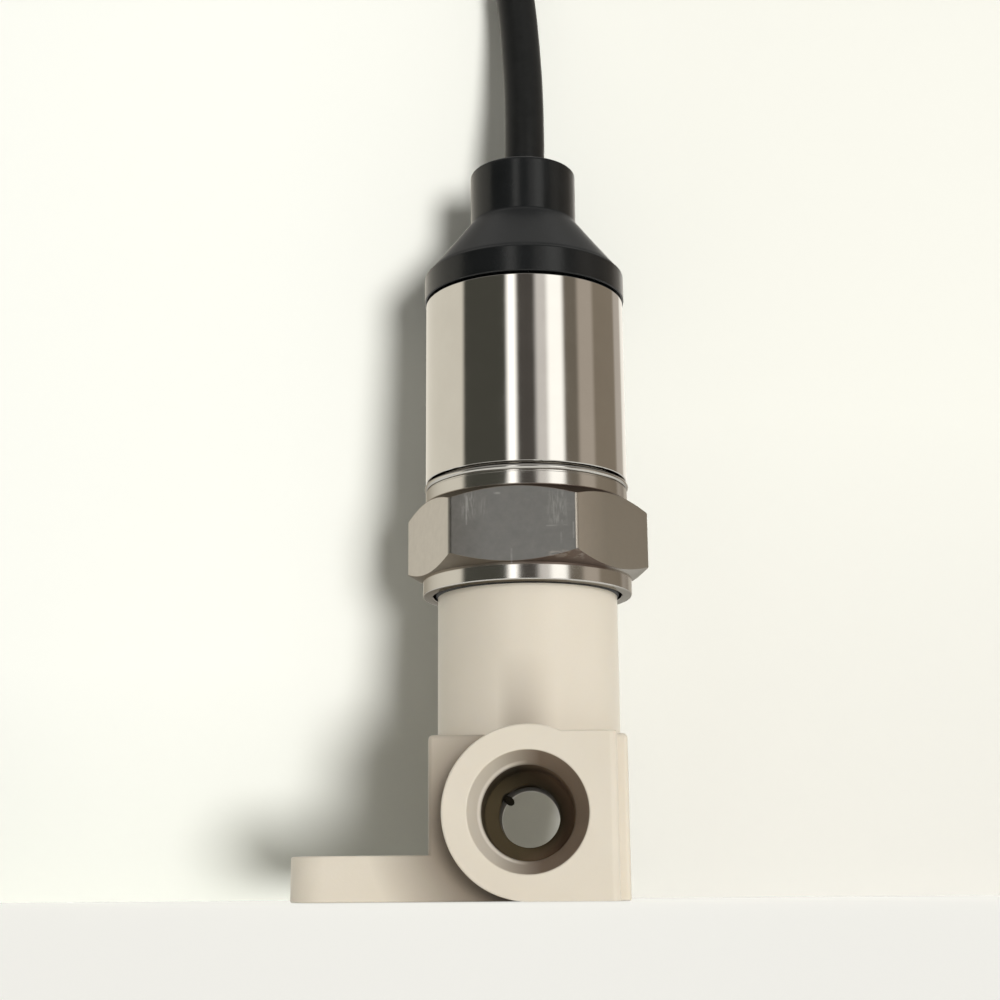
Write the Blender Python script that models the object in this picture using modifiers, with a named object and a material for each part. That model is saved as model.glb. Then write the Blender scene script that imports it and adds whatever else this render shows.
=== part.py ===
"""Pressure transducer with a moulded flow-through port, a hex body, a steel housing and a cable.

It stands upright: the underside of the port body is at z = 0, the sensor's axis is the Z axis,
the port's bore runs along Y with its mouth at the front (-Y), and the foot reaches to -X.
"""

import math

import bmesh
import bpy
from mathutils import Vector

# Sizes in metres, as each piece is made.
# Clearances between pieces that seat on or in each other.
CLEARANCE = 0.0003
SEAL_SPACE = 0.0003
# How far a cutting shape runs past the face that it cuts.
CUT_PAST = 0.0010

# Moulded port body
BLOCK_WIDTH = 0.0236
BLOCK_HEIGHT = 0.0192
BLOCK_CHAMFER = 0.0006
BOSS_RADIUS = 0.0100
BOSS_SIDE = 0.0104
BOSS_REACH = 0.0045
BOSS_CORNER = 0.0010
FOOT_REACH = 0.0166
FOOT_THICKNESS = 0.0053
FOOT_CORNER = 0.0045
SCREW_HOLE_RADIUS = 0.00275
SCREW_HOLE_FROM_END = 0.0082
NECK_RADIUS = 0.0114
NECK_LENGTH = 0.0182
SPIGOT_DEPTH = 0.0060
MOUTH_RADIUS = 0.0070
MOUTH_DEPTH = 0.0030
BORE_RADIUS = 0.0055
BORE_DEPTH = 0.0135
THROUGH_RADIUS = 0.00375
PASSAGE_RADIUS = 0.0020

# Hex body
SOCKET_GAP = 0.0006
SOCKET_WALL = 0.0013
LOWER_COLLAR_HEIGHT = 0.0019
COLLAR_CHAMFER = 0.00025
HEX_ACROSS_FLATS = 0.0270
HEX_HEIGHT = 0.0101
HEX_CHAMFER_RADIUS = 0.0128
HEX_CHAMFER_DEGREES = 30.0
HEX_TURN_DEGREES = -6.3
UPPER_COLLAR_HEIGHT = 0.0016
BEAD_GROOVE = 0.00015
BEAD_HEIGHT = 0.00075
BEAD_OVERHANG = 0.00015
REGISTER_HEIGHT = 0.0031
WIRE_BORE_RADIUS = 0.0075

# Measuring cell and its stack
CELL_RADIUS = 0.0090
CELL_THICKNESS = 0.00635
CELL_EDGE = 0.0002
SPACER_HEIGHT = 0.0010
SPACER_WALL = 0.0016
PLATEAU_HEIGHT = 0.0006
MEDIA_SEAL_RADIUS = 0.0060
PIN_RADIUS = 0.00035
PIN_CIRCLE = 0.0045
PIN_COUNT = 4

# Seals, as thickness of the ring's section
NECK_SEAL_THICKNESS = 0.0014
MEDIA_SEAL_THICKNESS = 0.0013
HOUSING_SEAL_THICKNESS = 0.0013

# Housing tube
TUBE_RADIUS = 0.0130
TUBE_WALL = 0.0010
TUBE_LENGTH = 0.02435
TUBE_CHAMFER = 0.00015

# Electronics
CARRIER_HEIGHT = 0.0014
CARRIER_WALL = 0.0015
BOARD_THICKNESS = 0.0012
BOARD_EDGE_GAP = 0.0005
CHIP_SIZE = (0.0060, 0.0040, 0.0016)
CHIP_FORWARD = 0.0060
CAPACITOR_RADIUS = 0.0020
CAPACITOR_HEIGHT = 0.0050
CAPACITOR_INSET = 0.0034
CAPACITOR_FORWARD = 0.0015
TRIMMER_SIZE = (0.0040, 0.0040, 0.0036)
TRIMMER_SIDE = 0.0042
TRIMMER_BACK = 0.0058
TRIMMER_SCREW_RADIUS = 0.0013
WIRE_RADIUS = 0.0006

# Cable boot
BOOT_OVERHANG = 0.0002
BOOT_COLLAR_HEIGHT = 0.0033
BOOT_RIM_ROUND = 0.0008
BOOT_LEDGE_RISE = 0.0005
BOOT_CONE_FOOT = 0.0112
BOOT_CONE_HEIGHT = 0.0071
BOOT_NECK_RADIUS = 0.00705
BOOT_NECK_LENGTH = 0.0075
BOOT_NECK_ROUND = 0.0004
BOOT_PLUG_LENGTH = 0.0043

# Cable
CABLE_RADIUS = 0.0027
CABLE_INNER_LENGTH = 0.0112
CABLE_BARED = 0.0041
CLAMP_WALL = 0.0016
CLAMP_HEIGHT = 0.0027
ROUTE_SPACING = 0.0075

# Tied hank that holds the length of cable past the picture's edge
HANK_RIGHT = -0.0910
HANK_LENGTH = 0.0840
HANK_FOLD_RADIUS = 0.0162
HANK_LAYERS = 3
LAYER_PITCH = 0.0055
TIE_THICKNESS = 0.0008
TIE_WIDTH = 0.0025
TIE_HEAD = (0.0040, 0.0022, 0.0036)
FRONT_TIE_PLACE = -0.1130
BACK_TIE_PLACE = -0.1330
TAIL_START = -0.1000
TAIL_LENGTH = 0.0190
SLEEVE_RADIUS = 0.0030
SLEEVE_LENGTH = 0.0090
LEAD_RADIUS = 0.00075
LEAD_LENGTH = 0.0180
LEAD_SPREAD = 0.0017
FERRULE_RADIUS = 0.0009
FERRULE_LENGTH = 0.0070

# Facets
ROUND_STEPS = 60
SEAL_STEPS = 30
SEAL_SIDES = 6
SMALL_STEPS = 20
HOLE_STEPS = 32
INNER_STEPS = 40
PIN_STEPS = 10
SMOOTH_DEGREES = 28

# Heights, worked out from the sizes, from the floor up
collar_bottom = BLOCK_HEIGHT + NECK_LENGTH
hex_bottom = collar_bottom + LOWER_COLLAR_HEIGHT
hex_top = hex_bottom + HEX_HEIGHT
groove_bottom = hex_top + UPPER_COLLAR_HEIGHT
bead_bottom = groove_bottom + BEAD_GROOVE
bead_top = bead_bottom + BEAD_HEIGHT
register_top = bead_top + REGISTER_HEIGHT
spigot_top = collar_bottom + SPIGOT_DEPTH
plateau_top = spigot_top + PLATEAU_HEIGHT
cell_bottom = plateau_top + CLEARANCE
cell_top = cell_bottom + CELL_THICKNESS
spacer_bottom = cell_top + CLEARANCE
spacer_top = spacer_bottom + SPACER_HEIGHT
pocket_top = spacer_top + CLEARANCE
tube_bottom = bead_top + CLEARANCE
tube_top = tube_bottom + TUBE_LENGTH
carrier_bottom = register_top + CLEARANCE
carrier_top = carrier_bottom + CARRIER_HEIGHT
board_bottom = carrier_top + CLEARANCE
board_top = board_bottom + BOARD_THICKNESS
parts_bottom = board_top + CLEARANCE
boot_bottom = tube_top + CLEARANCE
boot_rim = boot_bottom + BOOT_COLLAR_HEIGHT
cone_bottom = boot_rim + BOOT_LEDGE_RISE
cone_top = cone_bottom + BOOT_CONE_HEIGHT
boot_top = cone_top + BOOT_NECK_LENGTH
plug_bottom = boot_bottom - BOOT_PLUG_LENGTH
clamp_top = plug_bottom - CLEARANCE
clamp_bottom = clamp_top - CLAMP_HEIGHT
cable_end = plug_bottom - CABLE_BARED
cable_joint = cable_end + CABLE_INNER_LENGTH
route_start = cable_joint + CLEARANCE

# Radii, worked out from the sizes
socket_mouth = NECK_RADIUS + SOCKET_GAP
socket_radius = NECK_RADIUS + CLEARANCE
lower_collar_radius = socket_mouth + SOCKET_WALL
upper_collar_radius = TUBE_RADIUS
bead_radius = TUBE_RADIUS + BEAD_OVERHANG
tube_bore = TUBE_RADIUS - TUBE_WALL
register_radius = tube_bore - CLEARANCE
pocket_radius = CELL_RADIUS + CLEARANCE
boot_collar_radius = TUBE_RADIUS + BOOT_OVERHANG
cable_bore = CABLE_RADIUS + CLEARANCE
hank_half_width = HANK_FOLD_RADIUS + CABLE_RADIUS
hank_height = (HANK_LAYERS - 1) * LAYER_PITCH + 2 * CABLE_RADIUS
tie_bed = TIE_THICKNESS + CLEARANCE
tail_height = hank_height + CLEARANCE + CABLE_RADIUS

# The cable's way from inside the boot, over the arch and down to the hank, chosen by hand.
# It leans back as it leaves the boot, and eases onto the floor at the end.
CABLE_ROUTE = [
    (0.0000, 0.0000, 0.0876),
    (0.0002, 0.0000, 0.0945),
    (0.0003, 0.0006, 0.1020),
    (0.0001, 0.0020, 0.1116),
    (-0.0008, 0.0034, 0.1240),
    (-0.0027, 0.0034, 0.1365),
    (-0.0072, 0.0026, 0.1484),
    (-0.0146, 0.0014, 0.1578),
    (-0.0244, -0.0003, 0.1642),
    (-0.0358, -0.0023, 0.1673),
    (-0.0478, -0.0045, 0.1670),
    (-0.0593, -0.0068, 0.1633),
    (-0.0695, -0.0091, 0.1563),
    (-0.0777, -0.0113, 0.1465),
    (-0.0834, -0.0132, 0.1346),
    (-0.0865, -0.0147, 0.1214),
    (-0.0872, -0.0157, 0.1074),
    (-0.0860, -0.0161, 0.0932),
    (-0.0832, -0.0162, 0.0792),
    (-0.0797, -0.0162, 0.0658),
    (-0.0759, -0.0162, 0.0526),
    (-0.0724, -0.0162, 0.0398),
    (-0.0704, -0.0162, 0.0288),
    (-0.0713, -0.0162, 0.0192),
    (-0.0754, -0.0162, 0.0112),
    (-0.0819, -0.0162, 0.0059),
    (-0.0893, -0.0162, 0.0033),
]


def clear_scene():
    for item in list(bpy.data.objects):
        bpy.data.objects.remove(item, do_unlink=True)


def new_collection(name):
    collection = bpy.data.collections.new(name)
    bpy.context.scene.collection.children.link(collection)
    return collection


clear_scene()
PARTS = new_collection("pressure_transducer")
CUTTERS = new_collection("cutters")


def material(name, colour, roughness, metallic=0.0):
    made = bpy.data.materials.new(name)
    made.use_nodes = True
    shader = made.node_tree.nodes["Principled BSDF"]
    shader.inputs["Base Color"].default_value = (*colour, 1.0)
    shader.inputs["Roughness"].default_value = roughness
    shader.inputs["Metallic"].default_value = metallic
    made.diffuse_color = (*colour, 1.0)
    return made


def finish(item, finish_material):
    """Give a sub-part its material, and smooth its round faces but not its edges."""
    if item.type == "MESH":
        bpy.context.view_layer.update()
        evaluated = item.evaluated_get(bpy.context.evaluated_depsgraph_get())
        item.data = bpy.data.meshes.new_from_object(evaluated)
        item.modifiers.clear()
        item.data.shade_smooth()
        item.data.set_sharp_from_angle(angle=math.radians(SMOOTH_DEGREES))
    item.data.materials.clear()
    item.data.materials.append(finish_material)
    return item


def place(item, collection):
    for holder in list(item.users_collection):
        holder.objects.unlink(item)
    collection.objects.link(item)
    return item


def as_cutter(item):
    """Keep a shape that only cuts or adds to another out of the parts."""
    place(item, CUTTERS)
    item.hide_render = True
    item.display_type = "WIRE"
    return item


def mesh_object(name, mesh):
    item = bpy.data.objects.new(name, mesh)
    PARTS.objects.link(item)
    return item


def turned(name, profile, steps=ROUND_STEPS, ring=False):
    """A turned shape from (radius, height) points, down its outer side and up its inner side."""
    mesh = bpy.data.meshes.new(name)
    points = [(radius, 0.0, height) for radius, height in profile]
    edges = [(i, i + 1) for i in range(len(points) - 1)]
    if ring:
        edges.append((len(points) - 1, 0))
    mesh.from_pydata(points, edges, [])
    item = mesh_object(name, mesh)
    screw = item.modifiers.new("turn", "SCREW")
    screw.axis = "Z"
    screw.steps = steps
    screw.render_steps = steps
    screw.use_merge_vertices = True
    screw.merge_threshold = 0.00001
    screw.use_normal_calculate = False
    return item


def arc(centre_radius, centre_height, radius, start, end, count):
    """Points of a profile's rounded corner, with angles in degrees from the outward direction."""
    points = []
    for i in range(count + 1):
        angle = math.radians(start + (end - start) * i / count)
        points.append(
            (
                centre_radius + radius * math.cos(angle),
                centre_height + radius * math.sin(angle),
            )
        )
    return points


def cylinder(name, radius, low, high, at=(0.0, 0.0), sides=SMALL_STEPS):
    """An upright round bar between two heights."""
    mesh = bpy.data.meshes.new(name)
    shape = bmesh.new()
    bmesh.ops.create_cone(
        shape,
        cap_ends=True,
        segments=sides,
        radius1=radius,
        radius2=radius,
        depth=high - low,
    )
    bmesh.ops.translate(shape, vec=(at[0], at[1], (low + high) / 2), verts=shape.verts)
    shape.to_mesh(mesh)
    shape.free()
    return mesh_object(name, mesh)


def box(name, low, high):
    mesh = bpy.data.meshes.new(name)
    shape = bmesh.new()
    bmesh.ops.create_cube(shape, size=1.0)
    size = [high[i] - low[i] for i in range(3)]
    middle = [(high[i] + low[i]) / 2 for i in range(3)]
    bmesh.ops.scale(shape, vec=size, verts=shape.verts)
    bmesh.ops.translate(shape, vec=middle, verts=shape.verts)
    shape.to_mesh(mesh)
    shape.free()
    return mesh_object(name, mesh)


def round_edges(item, wanted, radius, segments):
    """Bevel the edges of a box whose middle point and direction the test accepts."""
    shape = bmesh.new()
    shape.from_mesh(item.data)
    chosen = []
    for edge in shape.edges:
        middle = (edge.verts[0].co + edge.verts[1].co) / 2
        direction = (edge.verts[0].co - edge.verts[1].co).normalized()
        if wanted(middle, direction):
            chosen.append(edge)
    bmesh.ops.bevel(
        shape,
        geom=chosen,
        offset=radius,
        offset_type="OFFSET",
        segments=segments,
        profile=0.5,
        affect="EDGES",
    )
    shape.to_mesh(item.data)
    shape.free()
    return item


def seal_ring(name, ring_radius, thickness, height):
    bpy.ops.mesh.primitive_torus_add(
        major_radius=ring_radius,
        minor_radius=thickness / 2,
        major_segments=SEAL_STEPS,
        minor_segments=SEAL_SIDES,
        location=(0.0, 0.0, height),
    )
    item = bpy.context.object
    item.name = name
    return place(item, PARTS)


def combine(item, other, operation):
    """Add another shape to an item, or cut it away, with the exact solver."""
    as_cutter(other)
    modifier = item.modifiers.new(other.name, "BOOLEAN")
    modifier.operation = operation
    modifier.solver = "EXACT"
    modifier.object = other
    return item


def through_points(points, spacing):
    """Points read at an even spacing from a smooth curve through the chosen points."""
    knots = [Vector(point) for point in points]
    before = knots[0] * 2 - knots[1]
    after = knots[-1] * 2 - knots[-2]
    knots = [before, *knots, after]
    fine = []
    for i in range(1, len(knots) - 2):
        a, b, c, d = knots[i - 1 : i + 3]
        for j in range(24):
            t = j / 24
            fine.append(
                0.5
                * (
                    2 * b
                    + (c - a) * t
                    + (2 * a - 5 * b + 4 * c - d) * t**2
                    + (3 * b - a - 3 * c + d) * t**3
                )
            )
    fine.append(knots[-2])
    length = sum((fine[i + 1] - fine[i]).length for i in range(len(fine) - 1))
    count = max(2, round(length / spacing))
    step = length / count
    even = [fine[0]]
    passed = 0.0
    for i in range(len(fine) - 1):
        piece = (fine[i + 1] - fine[i]).length
        while len(even) < count and passed + piece >= step * len(even):
            share = (step * len(even) - passed) / piece
            even.append(fine[i].lerp(fine[i + 1], share))
        passed += piece
    even.append(fine[-1])
    return even


def tube(name, points, radius, resolution=2):
    curve = bpy.data.curves.new(name, "CURVE")
    curve.dimensions = "3D"
    curve.bevel_depth = radius
    curve.bevel_resolution = resolution
    curve.use_fill_caps = True
    spline = curve.splines.new("POLY")
    spline.points.add(len(points) - 1)
    for point, place_at in zip(spline.points, points, strict=True):
        point.co = (*place_at, 1.0)
    item = bpy.data.objects.new(name, curve)
    PARTS.objects.link(item)
    return item


def flat_outline(name, loops, thickness):
    """A solid of a flat outline in XY, of the given thickness about z = 0."""
    curve = bpy.data.curves.new(name, "CURVE")
    curve.dimensions = "2D"
    curve.fill_mode = "BOTH"
    curve.extrude = thickness / 2
    for loop in loops:
        spline = curve.splines.new("POLY")
        spline.points.add(len(loop) - 1)
        for point, (x, y) in zip(spline.points, loop, strict=True):
            point.co = (x, y, 0.0, 1.0)
        spline.use_cyclic_u = True
    item = bpy.data.objects.new(name, curve)
    PARTS.objects.link(item)
    return item


def made_mesh(item):
    """The same solid as a mesh, where a curve is to be cut or joined."""
    bpy.context.view_layer.update()
    evaluated = item.evaluated_get(bpy.context.evaluated_depsgraph_get())
    mesh = bpy.data.meshes.new_from_object(evaluated)
    shape = bmesh.new()
    shape.from_mesh(mesh)
    bmesh.ops.remove_doubles(shape, verts=shape.verts, dist=0.00001)
    bmesh.ops.recalc_face_normals(shape, faces=shape.faces)
    shape.to_mesh(mesh)
    shape.free()
    name = item.name
    matrix = item.matrix_world.copy()
    bpy.data.objects.remove(item, do_unlink=True)
    solid = mesh_object(name, mesh)
    solid.matrix_world = matrix
    return solid


def along_y(item, y=0.0, height=0.0):
    """Lay a shape turned about Z so that its upper end points to the front, -Y."""
    item.rotation_euler = (math.radians(90), 0.0, 0.0)
    item.location = (0.0, y, height)
    return item


# Materials
PLASTIC = material("ivory_plastic", (0.76, 0.70, 0.60), 0.42)
STEEL = material("polished_steel", (0.66, 0.64, 0.61), 0.16, 1.0)
MILLED = material("milled_steel", (0.50, 0.49, 0.48), 0.30, 1.0)
BLACK = material("black_moulding", (0.045, 0.047, 0.052), 0.40)
JACKET = material("dark_cable_jacket", (0.055, 0.058, 0.064), 0.45)
RUBBER = material("black_rubber", (0.012, 0.012, 0.012), 0.60)
CERAMIC = material("white_ceramic", (0.82, 0.81, 0.78), 0.35)
BOARD = material("green_board", (0.02, 0.16, 0.07), 0.50)
CHIP = material("chip_black", (0.020, 0.020, 0.022), 0.55)
ALUMINIUM = material("capacitor_aluminium", (0.72, 0.72, 0.72), 0.35, 1.0)
BLUE = material("trimmer_blue", (0.03, 0.11, 0.42), 0.45)
TINNED = material("tinned_copper", (0.70, 0.69, 0.66), 0.30, 1.0)
CARRIER = material("natural_nylon", (0.66, 0.64, 0.56), 0.50)
RED = material("red_insulation", (0.45, 0.020, 0.015), 0.45)
WHITE = material("white_insulation", (0.75, 0.74, 0.70), 0.45)
BLUE_LEAD = material("blue_insulation", (0.02, 0.06, 0.35), 0.45)


def port_block():
    """The square block, chamfered all round its top and rounded up its four corners."""
    half = BLOCK_WIDTH / 2
    item = box("port_body", (-half, -half, 0.0), (half, half, BLOCK_HEIGHT))
    return round_edges(
        item, lambda middle, direction: middle.z > BLOCK_HEIGHT / 4, BLOCK_CHAMFER, 2
    )


def port_neck():
    """The round neck, with its seal groove, its spigot and the seat of the measuring cell."""
    neck_seal_space = NECK_SEAL_THICKNESS + 2 * SEAL_SPACE
    groove_low = collar_bottom + SEAL_SPACE / 2
    groove_high = groove_low + neck_seal_space
    groove_floor = socket_mouth - neck_seal_space
    media_half = MEDIA_SEAL_THICKNESS / 2 + SEAL_SPACE
    media_floor = plateau_top - MEDIA_SEAL_THICKNESS - SEAL_SPACE
    return turned(
        "port_neck",
        [
            (0.0, plateau_top),
            (MEDIA_SEAL_RADIUS - media_half, plateau_top),
            (MEDIA_SEAL_RADIUS - media_half, media_floor),
            (MEDIA_SEAL_RADIUS + media_half, media_floor),
            (MEDIA_SEAL_RADIUS + media_half, plateau_top),
            (CELL_RADIUS, plateau_top),
            (CELL_RADIUS, spigot_top),
            (NECK_RADIUS, spigot_top),
            (NECK_RADIUS, groove_high),
            (groove_floor, groove_high),
            (groove_floor, groove_low),
            (NECK_RADIUS, groove_low),
            (NECK_RADIUS, BLOCK_HEIGHT / 2),
            (0.0, BLOCK_HEIGHT / 2),
        ],
    )


def port_boss():
    """The round half of the boss, and its square half with the rounded upright edge."""
    face = BLOCK_WIDTH / 2 + BOSS_REACH
    disc = turned(
        "boss_disc",
        [(0.0, face), (BOSS_RADIUS, face), (BOSS_RADIUS, 0.0), (0.0, 0.0)],
    )
    along_y(disc, height=BOSS_RADIUS)
    round_side = box(
        "boss_round_side",
        (-face, -face - CUT_PAST, -CUT_PAST),
        (BOSS_RADIUS / 2, CUT_PAST, face * 2),
    )
    combine(disc, round_side, "INTERSECT")
    slab = box("boss_slab", (0.0, -face, 0.0), (BOSS_SIDE, 0.0, BLOCK_HEIGHT))
    round_edges(
        slab,
        lambda middle, direction: (
            middle.x > BOSS_SIDE * 0.9 and middle.y < -face * 0.9 and abs(direction.z) > 0.9
        ),
        BOSS_CORNER,
        4,
    )
    round_edges(
        slab,
        lambda middle, direction: middle.z > BLOCK_HEIGHT * 0.99 and middle.y < -face / 2,
        BLOCK_CHAMFER,
        1,
    )
    return disc, slab


def port_foot():
    """The flat foot, rounded at its two outer corners."""
    half = BLOCK_WIDTH / 2
    item = box("port_foot", (-half - FOOT_REACH, -half, 0.0), (0.0, half, FOOT_THICKNESS))
    round_edges(
        item,
        lambda middle, direction: middle.x < -half - FOOT_REACH * 0.9 and abs(direction.z) > 0.9,
        FOOT_CORNER,
        6,
    )
    return item


def stepped_bore():
    """The tapered mouth, the bore, its shoulder and the narrow way through to the back."""
    face = BLOCK_WIDTH / 2 + BOSS_REACH
    past = face + BOSS_REACH
    taper = (MOUTH_RADIUS - BORE_RADIUS) / MOUTH_DEPTH
    item = turned(
        "stepped_bore",
        [
            (0.0, past),
            (MOUTH_RADIUS + taper * BOSS_REACH, past),
            (BORE_RADIUS, face - MOUTH_DEPTH),
            (BORE_RADIUS, face - BORE_DEPTH),
            (THROUGH_RADIUS, face - BORE_DEPTH - (BORE_RADIUS - THROUGH_RADIUS) / 3),
            (THROUGH_RADIUS, -past),
            (0.0, -past),
        ],
        steps=INNER_STEPS,
    )
    return along_y(item, height=BOSS_RADIUS)


def port_body():
    item = port_block()
    combine(item, port_foot(), "UNION")
    disc, slab = port_boss()
    combine(item, slab, "UNION")
    combine(item, disc, "UNION")
    combine(item, port_neck(), "UNION")
    combine(item, stepped_bore(), "DIFFERENCE")
    passage = cylinder("pressure_passage", PASSAGE_RADIUS, BOSS_RADIUS, plateau_top + CUT_PAST)
    combine(item, passage, "DIFFERENCE")
    hole_x = -BLOCK_WIDTH / 2 - FOOT_REACH + SCREW_HOLE_FROM_END
    hole = cylinder(
        "screw_hole",
        SCREW_HOLE_RADIUS,
        -CUT_PAST,
        FOOT_THICKNESS + CUT_PAST,
        (hole_x, 0.0),
        HOLE_STEPS,
    )
    combine(item, hole, "DIFFERENCE")
    return finish(item, PLASTIC)


def hexagon():
    """The hex, with both ends chamfered by a turned shape that it is cut to."""
    bpy.ops.mesh.primitive_cylinder_add(
        vertices=6,
        radius=HEX_ACROSS_FLATS / math.sqrt(3),
        depth=HEX_HEIGHT,
        location=(0.0, 0.0, (hex_bottom + hex_top) / 2),
        rotation=(0.0, 0.0, math.radians(30 + HEX_TURN_DEGREES)),
    )
    item = bpy.context.object
    item.name = "hex_body"
    place(item, PARTS)
    reach = HEX_ACROSS_FLATS
    drop = (reach - HEX_CHAMFER_RADIUS) * math.tan(math.radians(HEX_CHAMFER_DEGREES))
    middle = (hex_bottom + hex_top) / 2
    drop_share = min(1.0, (HEX_HEIGHT / 2 - CLEARANCE) / drop)
    wide = HEX_CHAMFER_RADIUS + (reach - HEX_CHAMFER_RADIUS) * drop_share
    drop *= drop_share
    barrel = turned(
        "hex_chamfer",
        [
            (0.0, hex_top),
            (HEX_CHAMFER_RADIUS, hex_top),
            (wide, hex_top - drop),
            (wide, middle),
            (wide, hex_bottom + drop),
            (HEX_CHAMFER_RADIUS, hex_bottom),
            (0.0, hex_bottom),
        ],
    )
    combine(item, barrel, "INTERSECT")
    return item


def hex_body():
    """Socket collar, hex, upper collar, bead and the register inside the tube, in one piece."""
    seal_space = HOUSING_SEAL_THICKNESS + 2 * SEAL_SPACE
    groove_low = bead_top + (REGISTER_HEIGHT - seal_space) / 2
    groove_high = groove_low + seal_space
    groove_floor = tube_bore - seal_space
    middle = (hex_bottom + hex_top) / 2
    bead = BEAD_HEIGHT / 2
    item = hexagon()
    body = turned(
        "hex_body_turned",
        [
            (0.0, register_top),
            (register_radius, register_top),
            (register_radius, groove_high),
            (groove_floor, groove_high),
            (groove_floor, groove_low),
            (register_radius, groove_low),
            (register_radius, bead_top),
            (bead_radius - bead, bead_top),
            *arc(bead_radius - bead, bead_bottom + bead, bead, 60, -60, 3),
            (bead_radius - bead, bead_bottom),
            (upper_collar_radius - BEAD_GROOVE, bead_bottom),
            (upper_collar_radius - BEAD_GROOVE, groove_bottom),
            (upper_collar_radius, groove_bottom),
            (upper_collar_radius, middle),
            (lower_collar_radius, middle),
            (lower_collar_radius, collar_bottom + COLLAR_CHAMFER),
            (lower_collar_radius - COLLAR_CHAMFER, collar_bottom),
            (0.0, collar_bottom),
        ],
    )
    combine(item, body, "UNION")
    mouth_top = collar_bottom + NECK_SEAL_THICKNESS + 4 * SEAL_SPACE
    bores = turned(
        "hex_body_bores",
        [
            (0.0, register_top + CUT_PAST),
            (WIRE_BORE_RADIUS, register_top + CUT_PAST),
            (WIRE_BORE_RADIUS, pocket_top),
            (pocket_radius, pocket_top),
            (pocket_radius, spigot_top + CLEARANCE),
            (socket_radius, spigot_top + CLEARANCE),
            (socket_radius, mouth_top + SOCKET_GAP - CLEARANCE),
            (socket_mouth, mouth_top),
            (socket_mouth, collar_bottom - CUT_PAST),
            (0.0, collar_bottom - CUT_PAST),
        ],
    )
    combine(item, bores, "DIFFERENCE")
    return finish(item, MILLED)


def seals():
    neck_half = NECK_SEAL_THICKNESS / 2
    finish(
        seal_ring(
            "neck_seal",
            socket_mouth - SEAL_SPACE - neck_half,
            NECK_SEAL_THICKNESS,
            collar_bottom + SEAL_SPACE * 1.5 + neck_half,
        ),
        RUBBER,
    )
    media_half = MEDIA_SEAL_THICKNESS / 2
    finish(
        seal_ring(
            "media_seal", MEDIA_SEAL_RADIUS, MEDIA_SEAL_THICKNESS, plateau_top - media_half
        ),
        RUBBER,
    )
    housing_half = HOUSING_SEAL_THICKNESS / 2
    ring_radius = tube_bore - SEAL_SPACE - housing_half
    finish(
        seal_ring(
            "housing_seal",
            ring_radius,
            HOUSING_SEAL_THICKNESS,
            bead_top + REGISTER_HEIGHT / 2,
        ),
        RUBBER,
    )
    finish(
        seal_ring(
            "boot_seal",
            ring_radius,
            HOUSING_SEAL_THICKNESS,
            boot_bottom - BOOT_PLUG_LENGTH / 2,
        ),
        RUBBER,
    )


def housing_tube():
    item = turned(
        "housing_tube",
        [
            (tube_bore, tube_top),
            (TUBE_RADIUS - TUBE_CHAMFER, tube_top),
            (TUBE_RADIUS, tube_top - TUBE_CHAMFER),
            (TUBE_RADIUS, tube_bottom + TUBE_CHAMFER),
            (TUBE_RADIUS - TUBE_CHAMFER, tube_bottom),
            (tube_bore, tube_bottom),
        ],
        ring=True,
    )
    return finish(item, STEEL)


def measuring_cell():
    """The ceramic cell, the spacer above it and its contact pins up to the board."""
    finish(
        turned(
            "pressure_cell",
            [
                (0.0, cell_top),
                (CELL_RADIUS - CELL_EDGE, cell_top),
                (CELL_RADIUS, cell_top - CELL_EDGE),
                (CELL_RADIUS, cell_bottom + CELL_EDGE),
                (CELL_RADIUS - CELL_EDGE, cell_bottom),
                (0.0, cell_bottom),
            ],
            steps=INNER_STEPS,
        ),
        CERAMIC,
    )
    finish(
        turned(
            "cell_spacer",
            [
                (CELL_RADIUS - SPACER_WALL, spacer_top),
                (CELL_RADIUS, spacer_top),
                (CELL_RADIUS, spacer_bottom),
                (CELL_RADIUS - SPACER_WALL, spacer_bottom),
            ],
            steps=INNER_STEPS,
            ring=True,
        ),
        CARRIER,
    )
    for i in range(PIN_COUNT):
        angle = math.radians(45 + 360 * i / PIN_COUNT)
        at = (PIN_CIRCLE * math.cos(angle), PIN_CIRCLE * math.sin(angle))
        low = cell_top + CLEARANCE
        high = board_bottom - CLEARANCE
        finish(cylinder(f"cell_pin_{i + 1}", PIN_RADIUS, low, high, at, PIN_STEPS), TINNED)


def board_stack():
    """The carrier ring, the board and what is soldered on it."""
    finish(
        turned(
            "board_carrier",
            [
                (register_radius - CARRIER_WALL, carrier_top),
                (register_radius, carrier_top),
                (register_radius, carrier_bottom),
                (register_radius - CARRIER_WALL, carrier_bottom),
            ],
            steps=INNER_STEPS,
            ring=True,
        ),
        CARRIER,
    )
    board_radius = tube_bore - BOARD_EDGE_GAP
    finish(
        turned(
            "circuit_board",
            [
                (0.0, board_top),
                (board_radius, board_top),
                (board_radius, board_bottom),
                (0.0, board_bottom),
            ],
            steps=INNER_STEPS,
        ),
        BOARD,
    )
    width, depth, height = CHIP_SIZE
    chip = box(
        "amplifier_chip",
        (-width / 2, -CHIP_FORWARD - depth / 2, parts_bottom),
        (width / 2, -CHIP_FORWARD + depth / 2, parts_bottom + height),
    )
    finish(chip, CHIP)
    for name, side in (("filter_capacitor_a", -1), ("filter_capacitor_b", 1)):
        capacitor(name, side * (board_radius - CAPACITOR_INSET), -CAPACITOR_FORWARD)
    for name, side in (("zero_trimmer", -1), ("span_trimmer", 1)):
        trimmer(name, side * TRIMMER_SIDE, TRIMMER_BACK)


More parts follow.
